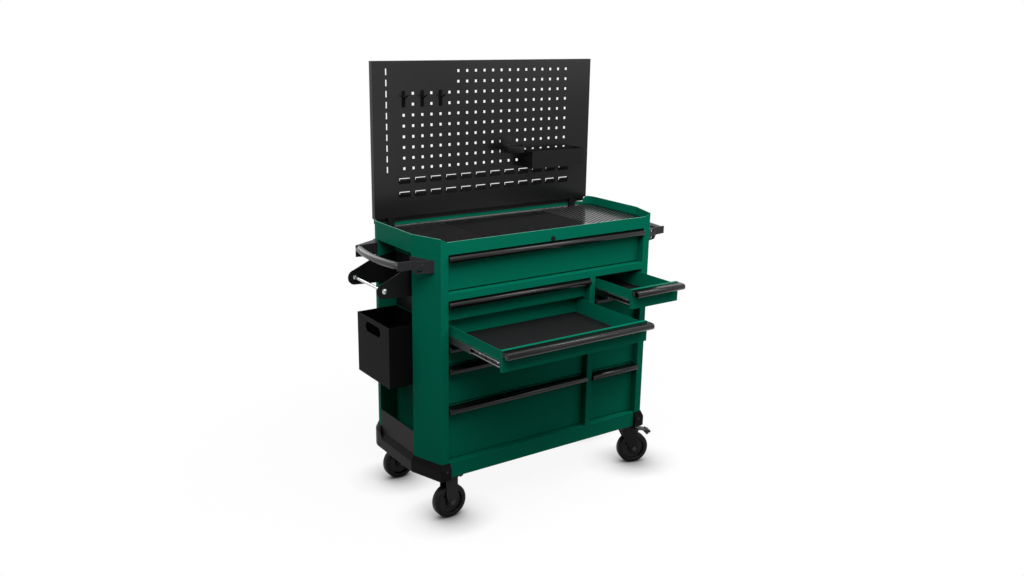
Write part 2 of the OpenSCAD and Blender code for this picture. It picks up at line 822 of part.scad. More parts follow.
// Channels that stand on the worktop behind the board, joined by a cross rail
module board_posts() {
    y0 = board_y + sheet;
    y1 = y0 + post_d;
    z1 = deck_z + post_h;
    cross_x = board_w / 2 - sheet - cross_gap;
    cross_z = board_z - cross_low;
    color(black) {
        for (x = [-post_x, post_x]) difference() {
            block([x - post_w / 2, y0, deck_z], [x + post_w / 2, y1, z1]);
            block([x - post_w / 2 + sheet, y0 + sheet, deck_z + sheet], [x + post_w / 2 - sheet, y1 + 1, z1 + 1]);
        }
        block([-cross_x, y1 - sheet, cross_z], [cross_x, y1, cross_z + cross_h]);
    }
}

// Plates over two holes, each with a slanting prong
module board_hooks() {
    plate_w = 12;
    plate_d = 3;
    z = (peg_z(2) + peg_z(3)) / 2;
    shank = hook_len - hook_point;
    color(black) for (i = [0, 2, 4]) {
        block([peg_x(i) - plate_w / 2, board_y - plate_d, peg_z(3) - peg_hole],
              [peg_x(i) + plate_w / 2, board_y, peg_z(2) + peg_hole]);
        translate([peg_x(i), board_y - plate_d / 2, z]) rotate([90 - hook_tilt, 0, 0]) {
            cylinder(r = hook_r, h = shank);
            translate([0, 0, shank]) cylinder(r1 = hook_r, r2 = hook_r / 2, h = hook_point);
        }
    }
}

module cup_holder() {
    wall = 2.5;
    z = board_top_z - cup_down;
    plate_d = 3;
    plate_w = 50;
    plate_up = 38;
    plate_down = 19;
    arm_w = 24;
    y = board_y - plate_d - cup_stand_off - wall - cup_r;
    color(black) {
        translate([cup_x, y, z - cup_h / 2]) difference() {
            union() {
                cylinder(r = cup_r + wall, h = cup_h);
                block([-arm_w / 2, 0, 0], [arm_w / 2, board_y - plate_d - y, cup_h]);
            }
            translate([0, 0, -1]) cylinder(r = cup_r, h = cup_h + 2);
        }
        block([cup_x - plate_w / 2, board_y - plate_d, z - plate_down],
              [cup_x + plate_w / 2, board_y, z + plate_up]);
    }
}

module can_pocket() {
    z = board_top_z - can_down;
    low = [can_x, board_y - can_d, z];
    high = [can_x + can_w, board_y, z + can_h];
    color(black) difference() {
        block(low, high);
        block(low + [sheet, sheet, sheet], high + [-sheet, -sheet, 1]);
    }
}

bin_z1 = rim_z - bin_drop;
bin_y0 = niche_y0 + bin_gap;
bin_y1 = niche_y1 - bin_gap;

module side_bin() {
    low = [-body_w / 2 - bin_reach, bin_y0, bin_z1 - bin_h];
    high = [-wall_x, bin_y1, bin_z1];
    hole_z = bin_z1 - hand_h;
    half = (hand_w - hand_h) / 2;
    mid_y = (bin_y0 + bin_y1) / 2;
    color(black) difference() {
        block(low, high);
        block(low + [bin_t, bin_t, bin_t], high + [-bin_t, -bin_t, 1]);
        for (y = [mid_y - half, mid_y + half])
            translate([low.x - 1, y, hole_z]) rotate([0, 90, 0]) cylinder(d = hand_h, h = bin_t + 2);
        block([low.x - 1, mid_y - half, hole_z - hand_h / 2], [low.x + bin_t + 1, mid_y + half, hole_z + hand_h / 2]);
    }
}

// Back plate in the niche, down to the bin, with two ears that carry the spindle
roll_x = -body_w / 2 - roll_reach;
roll_z = rim_z - roll_drop;
roll_y0 = niche_y0 + roll_gap + bracket_t;
roll_y1 = niche_y1 - roll_gap;

module roll_bracket() {
    ear_low = 34;
    ear_high = 78;
    shoulder_high = 60;
    nose = [-0.6, 0.8];
    ear = [[-wall_x, roll_z - ear_low], [-wall_x, roll_z + ear_high],
           [-body_w / 2 - ear_r, roll_z + shoulder_high], [roll_x, roll_z] + ear_r * nose,
           [roll_x, roll_z], [roll_x, roll_z - ear_r]];
    color(black) {
        block([-wall_x - ear_t, roll_y0, bin_z1 + bin_gap], [-wall_x, roll_y1, roll_z + ear_high]);
        for (y = [roll_y0, roll_y1 - ear_t]) difference() {
            upright(y, ear_t) union() {
                polygon(ear);
                translate([roll_x, roll_z]) circle(ear_r);
            }
            rod_y(roll_x, roll_z, spindle_r + turn_gap, y - 1, y + ear_t + 1);
        }
    }
}

module roll_spindle() {
    head_r = 9;
    head_t = 4;
    gap = rail_gap;
    color(steel) {
        rod_y(roll_x, roll_z, spindle_r, roll_y0 - gap - head_t, roll_y1 + gap + head_t);
        rod_y(roll_x, roll_z, head_r, roll_y0 - gap - head_t, roll_y0 - gap);
        rod_y(roll_x, roll_z, head_r, roll_y1 + gap, roll_y1 + gap + head_t);
        rod_y(roll_x, roll_z, head_r, roll_y0 + ear_t + gap, roll_y0 + ear_t + gap + head_t);
        rod_y(roll_x, roll_z, head_r, roll_y1 - ear_t - gap - head_t, roll_y1 - ear_t - gap);
    }
}

// Panel that closes the lower part of the left niche
module side_pocket() {
    color(grey) block([-body_w / 2, niche_y0, pan_z], [sheet - body_w / 2, niche_y1, base_z + pocket_h]);
}

// Casters: two rigid ones on the left, two swivel ones on the right
axle_z = wheel_d / 2;
plate_z = base_z - plate_t;
rigid_x = rigid_in_x - front_w / 2;
swivel_x = front_w / 2 - swivel_in_x;
wheel_x = swivel_x + trail;
caster_y = rear_y - caster_in_y;
leg_y = wheel_w / 2 + fork_gap;
fork_half = leg_y + fork_t;
kingpin_r = 7;
nut_r = 12;
nut_h = 8;
head_r = 25;
head_h = 6;
fork_top_z = plate_z - rail_gap;
crown_z = fork_top_z - head_h - fork_t;
pedal_pin_r = 3.5;
pedal_out = 44;
pedal_low = 9;
pedal_pin_x = swivel_x + pedal_out;
pedal_pin_z = crown_z - pedal_low;

// Axle with a hex head and nut, along Y through a fork at x
module axle(x, y) {
    hex_r = 10;
    hex_t = 5;
    rod_y(x, axle_z, axle_r - turn_gap, y - fork_half, y + fork_half);
    rod_y(x, axle_z, hex_r, y - fork_half - hex_t, y - fork_half, 6);
    rod_y(x, axle_z, hex_r, y + fork_half, y + fork_half + hex_t, 6);
}

// Plate under the body, as wide as the flat front leaves room for
module mounting_plate(x, y) {
    half_w = front_w / 2 - plate_margin - abs(x);
    block([x - half_w, y - plate_d / 2, plate_z], [x + half_w, y + plate_d / 2, base_z]);
}

// Legs that narrow to the axle
module rigid_fork(y) {
    boss_r = 14;
    taper = 26;
    half = leg_w / 2;
    difference() {
        union() {
            mounting_plate(rigid_x, y);
            for (leg = [y - fork_half, y + leg_y]) upright(leg, fork_t) translate([rigid_x, axle_z]) {
                polygon([[-boss_r, 0], [boss_r, 0], [half, taper], [half, plate_z - axle_z + 1],
                         [-half, plate_z - axle_z + 1], [-half, taper]]);
                circle(boss_r);
            }
        }
        rod_y(rigid_x, axle_z, axle_r, y - fork_half - 1, y + fork_half + 1);
    }
    axle(rigid_x, y);
}

module swivel_plate(y) {
    mounting_plate(swivel_x, y);
    translate([swivel_x, y, 0]) {
        translate([0, 0, crown_z - rail_gap - 1]) cylinder(r = kingpin_r, h = plate_z - crown_z + rail_gap + 2);
        translate([0, 0, crown_z - rail_gap - nut_h]) cylinder(r = nut_r, h = nut_h, $fn = 6);
    }
}

module caster_mounts() {
    color(black) for (y = [-caster_y, caster_y]) {
        rigid_fork(y);
        swivel_plate(y);
    }
}

// What turns about a kingpin at y
module turned(y, turn) {
    translate([swivel_x, y, 0]) rotate([0, 0, -turn]) translate([-swivel_x, -y, 0]) children();
}

module swivel_fork(y) {
    leg_r = 17;
    crown_half = 26;
    lug_r = 8;
    leg = [[swivel_x - crown_half, crown_z + 1], [wheel_x - leg_r, axle_z], [wheel_x + leg_r, axle_z],
           [pedal_pin_x, pedal_pin_z - lug_r], [pedal_pin_x, crown_z + 1]];
    color(black) {
        difference() {
            union() {
                block([swivel_x - crown_half, y - fork_half, crown_z],
                      [swivel_x + crown_half, y + fork_half, crown_z + fork_t]);
                translate([swivel_x, y, crown_z]) cylinder(r = head_r, h = fork_top_z - crown_z);
                for (side = [y - fork_half, y + leg_y]) upright(side, fork_t) {
                    polygon(leg);
                    translate([wheel_x, axle_z]) circle(leg_r);
                    translate([pedal_pin_x, pedal_pin_z]) circle(lug_r);
                }
            }
            translate([swivel_x, y, crown_z - 1]) cylinder(r = kingpin_r + turn_gap, h = fork_top_z - crown_z + 2);
            rod_y(wheel_x, axle_z, axle_r, y - fork_half - 1, y + fork_half + 1);
            rod_y(pedal_pin_x, pedal_pin_z, pedal_pin_r + turn_gap, y - fork_half - 1, y + fork_half + 1);
        }
        axle(wheel_x, y);
    }
}

// Arched lever on its pin, with a lobe over the wheel and a thick toe
module brake_pedal(y) {
    lever_t = 4;
    barrel_r = 6;
    arch_r = 120;
    rise = 2;
    toe_len = 16;
    toe_up = 5;
    lobe_r = 7;
    lobe_in = 12;
    a0 = 90 + rise;
    function turn_of(s) = a0 - s * 180 / (PI * arch_r);
    function band(s0, s1, low, high) = concat(
        arc([0, 0], arch_r + high, turn_of(s0), turn_of(s1)), arc([0, 0], arch_r + low, turn_of(s1), turn_of(s0)));
    lobe = turn_of(pedal_len - lobe_in);
    middle = [pedal_pin_x, pedal_pin_z] - arch_r * [cos(a0), sin(a0)];
    color(grey) {
        rod_y(pedal_pin_x, pedal_pin_z, pedal_pin_r, y - fork_half, y + fork_half);
        rod_y(pedal_pin_x, pedal_pin_z, barrel_r, y - leg_y + rail_gap, y + leg_y - rail_gap);
        upright(y - pedal_w / 2, pedal_w) translate(middle) {
            polygon(band(0, pedal_len, -lever_t / 2, lever_t / 2));
            polygon(band(pedal_len - toe_len, pedal_len, -lever_t, toe_up));
            translate((arch_r - lobe_r) * [cos(lobe), sin(lobe)]) circle(lobe_r);
        }
    }
}

// Tyre, recessed disc and hub in one turned shape
module wheel(x, y) {
    r = wheel_d / 2;
    half = wheel_w / 2;
    disc = half * 0.45;
    rim_r = r * 0.7;
    hub_r = axle_r * 3;
    hub_step = 2;
    dish_step = 3;
    shoulder = 8;
    round_r = 2.5;
    round_w = 3;
    color(black) translate([x, y, axle_z]) rotate([90, 0, 0]) rotate_extrude($fn = 72) polygon([
        [axle_r, -half - fork_gap / 2], [hub_r, -half - fork_gap / 2], [hub_r + hub_step, -disc],
        [rim_r - dish_step, -disc], [rim_r, -half], [r - shoulder, -half], [r - round_r, round_w - half],
        [r, shoulder - half], [r, half - shoulder], [r - round_r, half - round_w], [r - shoulder, half],
        [rim_r, half], [rim_r - dish_step, disc], [hub_r + hub_step, disc],
        [hub_r, half + fork_gap / 2], [axle_r, half + fork_gap / 2]]);
}

end_frames();
face_frame();
back_panel();
base_pan();
centre_wall();
worktop_tray();
worktop_mat();
end_bumpers();
slide_channels();
push_bars();
push_brackets();
pegboard();
board_posts();
board_hooks();
cup_holder();
can_pocket();
side_bin();
roll_bracket();
roll_spindle();
side_pocket();
lock_cylinder();
caster_mounts();
turned(-caster_y, front_turn) swivel_fork(-caster_y);  // front_swivel_fork
turned(caster_y, rear_turn) swivel_fork(caster_y);  // rear_swivel_fork
turned(-caster_y, front_turn) brake_pedal(-caster_y);  // front_brake_pedal
turned(caster_y, rear_turn) brake_pedal(caster_y);  // rear_brake_pedal
wheel(rigid_x, -caster_y);  // front_left_wheel
wheel(rigid_x, caster_y);  // rear_left_wheel
turned(-caster_y, front_turn) wheel(wheel_x, -caster_y);  // front_right_wheel
turned(caster_y, rear_turn) wheel(wheel_x, caster_y);  // rear_right_wheel
for (d = DRAWERS) {
    drawer(d);
    pull(d);
    midrails(d);
}
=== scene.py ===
"""Looks of a wheeled tool cabinet: finishes, small fittings, studio light and camera."""
import logging
import math
from dataclasses import dataclass, field
from enum import Enum
from typing import Callable

import bpy
from mathutils import Matrix, Vector


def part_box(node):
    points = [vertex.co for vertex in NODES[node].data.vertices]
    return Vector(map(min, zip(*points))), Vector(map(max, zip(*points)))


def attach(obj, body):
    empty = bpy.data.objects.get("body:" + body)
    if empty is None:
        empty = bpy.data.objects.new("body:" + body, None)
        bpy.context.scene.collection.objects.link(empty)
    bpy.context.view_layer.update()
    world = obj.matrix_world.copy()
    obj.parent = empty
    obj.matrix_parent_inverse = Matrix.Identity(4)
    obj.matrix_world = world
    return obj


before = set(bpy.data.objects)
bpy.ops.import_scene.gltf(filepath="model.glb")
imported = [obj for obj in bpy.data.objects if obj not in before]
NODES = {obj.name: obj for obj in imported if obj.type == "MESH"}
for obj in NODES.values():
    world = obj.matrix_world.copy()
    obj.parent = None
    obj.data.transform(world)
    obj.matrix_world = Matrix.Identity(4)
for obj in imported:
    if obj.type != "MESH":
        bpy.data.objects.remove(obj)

log = logging.getLogger("tool_cabinet")
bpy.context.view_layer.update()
MM = 0.001
# Slack of tests on places, and a distance that is past a face for sure
TOUCH = 0.02 * MM
PAST = 1.0 * MM
# Shares of a normal's length that count as pointing up and as pointing to a side
UPWARD = 0.9
SIDEWAYS = 0.5
SMOOTH_ANGLE = math.radians(35.0)
FOLD_ANGLE = math.radians(40.0)
LEFT = Vector((-1, 0, 0))
RIGHT = Vector((1, 0, 0))
Colour = tuple[float, float, float]
Point = tuple[float, float, float]
Spot = tuple[Vector, Vector]


class Groove(Enum):
    """Recess in the head of a screw."""

    NONE = "none"
    ROUND = "round"


def faces_up(face: bpy.types.MeshPolygon) -> bool:
    """Tell whether a face points up."""
    return face.normal.z > UPWARD


def faces_side(face: bpy.types.MeshPolygon) -> bool:
    """Tell whether a face points to the left or the right."""
    return abs(face.normal.x) > SIDEWAYS


# Effects that several finishes share


class Effect:
    """A shader node group that is built once and placed in many materials."""

    def __init__(self, name: str) -> None:
        """Start an empty group.

        Args:
            name: Name of the group.
        """
        self.tree = bpy.data.node_groups.new(name, "ShaderNodeTree")
        self.entry = self.tree.nodes.new("NodeGroupInput")
        self.exit = self.tree.nodes.new("NodeGroupOutput")

    def takes(self, name: str, value: float) -> bpy.types.NodeSocket:
        """Add a number input.

        Args:
            name: Name of the input.
            value: Value where a material gives none.

        Returns:
            The socket inside the group that carries the input.
        """
        socket = self.tree.interface.new_socket(name, in_out="INPUT", socket_type="NodeSocketFloat")
        socket.default_value = value
        return self.entry.outputs[name]

    def gives(self, name: str, source: bpy.types.NodeSocket) -> None:
        """Add a number output.

        Args:
            name: Name of the output.
            source: Socket inside the group that feeds it.
        """
        self.tree.interface.new_socket(name, in_out="OUTPUT", socket_type="NodeSocketFloat")
        self.tree.links.new(source, self.exit.inputs[name])

    def node(self, kind: str, **values: object) -> bpy.types.Node:
        """Add a node and set its properties.

        Args:
            kind: Type of the node.
            values: Its properties by name.

        Returns:
            The new node.
        """
        made = self.tree.nodes.new(kind)
        for key, value in values.items():
            setattr(made, key, value)
        return made

    def link(self, source: bpy.types.NodeSocket, target: bpy.types.NodeSocket) -> None:
        """Join two sockets."""
        self.tree.links.new(source, target)


class CoatGrain(Effect):
    """Fine grain of a sprayed or moulded skin, with slow drifts of its shade."""

    def __init__(self) -> None:
        """Build the group."""
        super().__init__("coat_grain")
        scale = self.takes("Scale", 900.0)
        drift = self.takes("Drift", 4.0)
        place = self.node("ShaderNodeTexCoord")
        fine = self.node("ShaderNodeTexNoise")
        fine.inputs["Detail"].default_value = 3.0
        slow = self.node("ShaderNodeTexNoise")
        slow.inputs["Detail"].default_value = 5.0
        for noise, size in ((fine, scale), (slow, drift)):
            self.link(place.outputs["Object"], noise.inputs["Vector"])
            self.link(size, noise.inputs["Scale"])
        self.gives("Height", fine.outputs["Fac"])
        self.gives("Shade", slow.outputs["Fac"])


class EdgeHighlight(Effect):
    """Mask of the painted highlight along the folded edges of a piece, broken up in patches by noise."""

    def __init__(self) -> None:
        """Build the group."""
        super().__init__("edge_painted_highlight")
        radius = self.takes("Radius", 0.002)
        breaks = self.takes("Breaks", 60.0)
        rounded = self.node("ShaderNodeBevel", samples=6)
        self.link(radius, rounded.inputs["Radius"])
        shape = self.node("ShaderNodeNewGeometry")
        likeness = self.node("ShaderNodeVectorMath", operation="DOT_PRODUCT")
        self.link(rounded.outputs["Normal"], likeness.inputs[0])
        self.link(shape.outputs["Normal"], likeness.inputs[1])
        band = self.node("ShaderNodeMapRange")
        band.inputs["From Min"].default_value = 0.99
        band.inputs["From Max"].default_value = 0.80
        self.link(likeness.outputs["Value"], band.inputs["Value"])
        place = self.node("ShaderNodeTexCoord")
        noise = self.node("ShaderNodeTexNoise")
        self.link(place.outputs["Object"], noise.inputs["Vector"])
        self.link(breaks, noise.inputs["Scale"])
        patch = self.node("ShaderNodeMapRange")
        patch.inputs["From Min"].default_value = 0.30
        patch.inputs["From Max"].default_value = 0.62
        patch.inputs["To Min"].default_value = 0.45
        self.link(noise.outputs["Fac"], patch.inputs["Value"])
        both = self.node("ShaderNodeMath", operation="MULTIPLY")
        self.link(band.outputs["Result"], both.inputs[0])
        self.link(patch.outputs["Result"], both.inputs[1])
        self.gives("Mask", both.outputs["Value"])


class DrawnSteel(Effect):
    """Long fine lines that rolling and drawing leave on bare steel."""

    def __init__(self) -> None:
        """Build the group."""
        super().__init__("drawn_steel")
        across = self.takes("Across", 1400.0)
        along = self.takes("Along", 30.0)
        place = self.node("ShaderNodeTexCoord")
        stretch = self.node("ShaderNodeCombineXYZ")
        self.link(across, stretch.inputs["X"])
        self.link(along, stretch.inputs["Y"])
        self.link(across, stretch.inputs["Z"])
        scaled = self.node("ShaderNodeVectorMath", operation="MULTIPLY")
        self.link(place.outputs["Object"], scaled.inputs[0])
        self.link(stretch.outputs["Vector"], scaled.inputs[1])
        lines = self.node("ShaderNodeTexNoise")
        lines.inputs["Scale"].default_value = 1.0
        lines.inputs["Detail"].default_value = 4.0
        self.link(scaled.outputs["Vector"], lines.inputs["Vector"])
        self.gives("Lines", lines.outputs["Fac"])


# Finishes


class MixColours:
    """A Mix node in colour mode, with its colour sockets under plain names.

    The node has sockets for each kind of data, so those of the colours are found by number.
    """

    SHARE = 0
    FIRST = 6
    SECOND = 7
    RESULT = 2

    def __init__(self, tree: bpy.types.NodeTree, share: bpy.types.NodeSocket, low: Colour,
                 high: Colour) -> None:
        """Place the node and feed its mask.

        Args:
            tree: Node tree of the material.
            share: Socket with the mask.
            low: Colour where the mask is 0.
            high: Colour where the mask is 1.
        """
        node = tree.nodes.new("ShaderNodeMix")
        node.data_type = "RGBA"
        self.first = node.inputs[self.FIRST]
        self.result = node.outputs[self.RESULT]
        self.first.default_value = (*low, 1.0)
        node.inputs[self.SECOND].default_value = (*high, 1.0)
        tree.links.new(share, node.inputs[self.SHARE])


@dataclass(frozen=True)
class Finish:
    """A coated, moulded or plated skin.

    The colour is linear. Edge is the colour of the painted highlight that lightens folds and edges.
    """

    name: str
    colour: Colour
    roughness: float
    edge: Colour
    edge_width: float = 1.6 * MM
    edge_share: float = 0.5
    metallic: float = 0.0
    specular: float = 0.5
    grain_scale: float = 900.0
    grain_depth: float = 0.04
    grain_height: float = 0.2 * MM
    drift: float = 4.0
    drift_share: float = 0.12
    roughness_spread: float = 0.08
    drawn: bool = False

    def material(self, effects: dict[str, Effect]) -> bpy.types.Material:
        """Build the material.

        Args:
            effects: Shared node groups by name.

        Returns:
            The finished material.
        """
        made = bpy.data.materials.new(self.name)
        made.use_nodes = True
        made.diffuse_color = (*self.colour, 1.0)
        tree = made.node_tree
        shader = tree.nodes["Principled BSDF"]
        shader.inputs["Metallic"].default_value = self.metallic
        shader.inputs["Specular IOR Level"].default_value = self.specular
        grain = self._group(tree, effects["grain"])
        grain.inputs["Scale"].default_value = self.grain_scale
        grain.inputs["Drift"].default_value = self.drift
        # Painted highlight: the edge mask blends the skin towards the lighter edge colour along folds and
        # edges.
        edge_light = self._group(tree, effects["edge_light"])
        edge_light.inputs["Radius"].default_value = self.edge_width
        surface = grain.outputs["Height"]
        if self.drawn:
            surface = self._group(tree, effects["drawn"]).outputs["Lines"]
        skin = MixColours(tree, grain.outputs["Shade"], self._tinted(-1), self._tinted(1))
        share = tree.nodes.new("ShaderNodeMath")
        share.operation = "MULTIPLY"
        share.inputs[1].default_value = self.edge_share
        tree.links.new(edge_light.outputs["Mask"], share.inputs[0])
        highlit = MixColours(tree, share.outputs["Value"], self.edge, self.edge)
        tree.links.new(skin.result, highlit.first)
        tree.links.new(highlit.result, shader.inputs["Base Color"])
        gloss = tree.nodes.new("ShaderNodeMapRange")
        gloss.inputs["To Min"].default_value = self.roughness - self.roughness_spread
        gloss.inputs["To Max"].default_value = self.roughness + self.roughness_spread
        tree.links.new(surface, gloss.inputs["Value"])
        tree.links.new(gloss.outputs["Result"], shader.inputs["Roughness"])
        bump = tree.nodes.new("ShaderNodeBump")
        bump.inputs["Strength"].default_value = self.grain_depth
        bump.inputs["Distance"].default_value = self.grain_height
        tree.links.new(surface, bump.inputs["Height"])
        tree.links.new(bump.outputs["Normal"], shader.inputs["Normal"])
        return made

    def _tinted(self, way: int) -> Colour:
        """Return the colour a little darker or lighter."""
        return tuple(part * (1.0 + way * self.drift_share) for part in self.colour)

    @staticmethod
    def _group(tree: bpy.types.NodeTree, effect: Effect) -> bpy.types.Node:
        """Place a shared effect in a material.

        Args:
            tree: Node tree of the material.
            effect: The effect.

        Returns:
            The group's node.
        """
        made = tree.nodes.new("ShaderNodeGroup")
        made.node_tree = effect.tree
        return made


GREEN_COAT = Finish("green_coat", (0.0006, 0.128, 0.075), 0.42, (0.020, 0.250, 0.170), specular=0.02,
                    drift_share=0.05, grain_depth=0.05, edge_width=1.8 * MM, edge_share=0.55)
RIM_HIGHLIGHT = Finish("rim_painted_highlight", (0.16, 0.36, 0.29), 0.34, (0.30, 0.48, 0.42), specular=0.20)
BOARD_BLACK = Finish("board_black", (0.0055, 0.0055, 0.0057), 0.25, (0.026, 0.026, 0.028), specular=0.17,
                     edge_share=0.4)
BLACK_COAT = Finish("black_coat", (0.0055, 0.0056, 0.006), 0.42, (0.030, 0.031, 0.033), specular=0.10)
BIN_BLACK = Finish("bin_black", (0.0021, 0.0020, 0.0021), 0.46, (0.014, 0.014, 0.015), specular=0.03)
GREY_COAT = Finish("grey_coat", (0.020, 0.0202, 0.0206), 0.45, (0.05, 0.052, 0.055), specular=0.05)
MAT_BLACK = Finish("mat_black", (0.004, 0.0041, 0.0045), 0.16, (0.02, 0.02, 0.022), specular=0.30,
                   grain_depth=0.008, roughness_spread=0.04)
MAT_GROOVE_HIGHLIGHT = Finish("mat_groove_painted_highlight", (0.045, 0.045, 0.047), 0.45, (0.06, 0.06, 0.062), specular=0.20)
LINER_BLACK = Finish("liner_black", (0.009, 0.009, 0.0095), 0.55, (0.02, 0.02, 0.021), specular=0.08,
                     grain_scale=260.0, grain_depth=0.45)
BUMPER_BLACK = Finish("bumper_black", (0.0024, 0.0022, 0.0025), 0.36, (0.012, 0.012, 0.013), specular=0.05,
                      grain_scale=1500.0, grain_depth=0.06)
PULL_BLACK = Finish("pull_black", (0.0040, 0.0038, 0.0040), 0.20, (0.012, 0.012, 0.013), specular=0.20,
                    grain_scale=1500.0, roughness_spread=0.04)
BAR_GREY = Finish("bar_grey", (0.026, 0.0265, 0.0285), 0.30, (0.06, 0.06, 0.064), specular=0.35)
BRACKET_BLACK = Finish("bracket_black", (0.0185, 0.0185, 0.0208), 0.42, (0.05, 0.05, 0.054), specular=0.10)
SLIDE_ZINC = Finish("slide_zinc", (0.30, 0.305, 0.31), 0.32, (0.55, 0.55, 0.56), metallic=1.0, drawn=True,
                    grain_depth=0.10, drift=30.0, drift_share=0.10, roughness_spread=0.10)
SLIDE_WEB_SHADE = Finish("slide_web_painted_shade", (0.060, 0.061, 0.064), 0.36, (0.30, 0.30, 0.31), metallic=1.0, drawn=True,
                   grain_depth=0.10, drift=30.0, drift_share=0.15, roughness_spread=0.10)
BRIGHT_STEEL = Finish("bright_steel", (0.50, 0.51, 0.52), 0.26, (0.75, 0.75, 0.76), metallic=1.0, drawn=True)
DARK_STEEL = Finish("dark_steel", (0.022, 0.022, 0.024), 0.34, (0.10, 0.10, 0.105), specular=0.25)
LOCK_DARK = Finish("lock_dark", (0.0040, 0.0040, 0.0045), 0.22, (0.12, 0.12, 0.125), specular=0.08,
                   edge_share=0.3)
CASTER_STEEL = Finish("caster_steel", (0.019, 0.019, 0.020), 0.40, (0.07, 0.07, 0.073), specular=0.10,
                      edge_share=0.6)
SWIVEL_STEEL = Finish("swivel_steel", (0.0045, 0.0045, 0.0050), 0.36, (0.05, 0.05, 0.053), specular=0.10,
                      edge_share=0.6)
PEDAL_GREY = Finish("pedal_grey", (0.030, 0.0305, 0.0325), 0.44, (0.10, 0.10, 0.105), specular=0.15)
WHEEL_RUBBER = Finish("wheel_rubber", (0.0042, 0.0042, 0.0045), 0.42, (0.02, 0.02, 0.021), specular=0.12,
                      grain_scale=1200.0, grain_depth=0.10)
WHEEL_HUB = Finish("wheel_hub", (0.0050, 0.0050, 0.0055), 0.30, (0.03, 0.03, 0.032), specular=0.16)
SLOT_SHADE = Finish("slot_painted_shade", (0.003, 0.003, 0.0033), 0.7, (0.004, 0.004, 0.0043), specular=0.05)


class Paintbox:
    """Builds each finish's material once and gives it out by finish."""

    def __init__(self) -> None:
        """Build the shared effects."""
        self.effects: dict[str, Effect] = {"grain": CoatGrain(), "edge_light": EdgeHighlight(), "drawn": DrawnSteel()}
        self.made: dict[str, bpy.types.Material] = {}

    def get(self, finish: Finish) -> bpy.types.Material:
        """Return a finish's material.

        Args:
            finish: The finish.

        Returns:
            Its material, built at the first call.
        """
        if finish.name not in self.made:
            self.made[finish.name] = finish.material(self.effects)
        return self.made[finish.name]

    def dress(self, piece: bpy.types.Object, *finishes: Finish) -> None:
        """Give a piece its finishes, the first on every face.

        Args:
            piece: The mesh object.
            finishes: Finishes in the order of the material slots.
        """
        piece.data.materials.clear()
        for finish in finishes:
            piece.data.materials.append(self.get(finish))
        for face in piece.data.polygons:
            face.material_index = 0

    def plate_slides(self, piece: bpy.types.Object) -> None:
        """Plate slide members, with painted shade that makes their side-facing webs darker than their edges.

        Args:
            piece: The mesh object.
        """
        self.dress(piece, SLIDE_ZINC, SLIDE_WEB_SHADE)
        # Painted shade: side-facing web faces take the darker zinc.
        for face in piece.data.polygons:
            face.material_index = 1 if faces_side(face) else 0

    def fit(self, piece: bpy.types.Object, body: str, slot: str, finish: Finish) -> bpy.types.Object:
        """Coat a new piece and set it on its body.

        Args:
            piece: The piece.
            body: Body that carries it.
            slot: Not used.
            finish: Its finish.

        Returns:
            The same piece.
        """
        self.dress(piece, finish)
        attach(piece, body)
        return piece


# Modelling moves


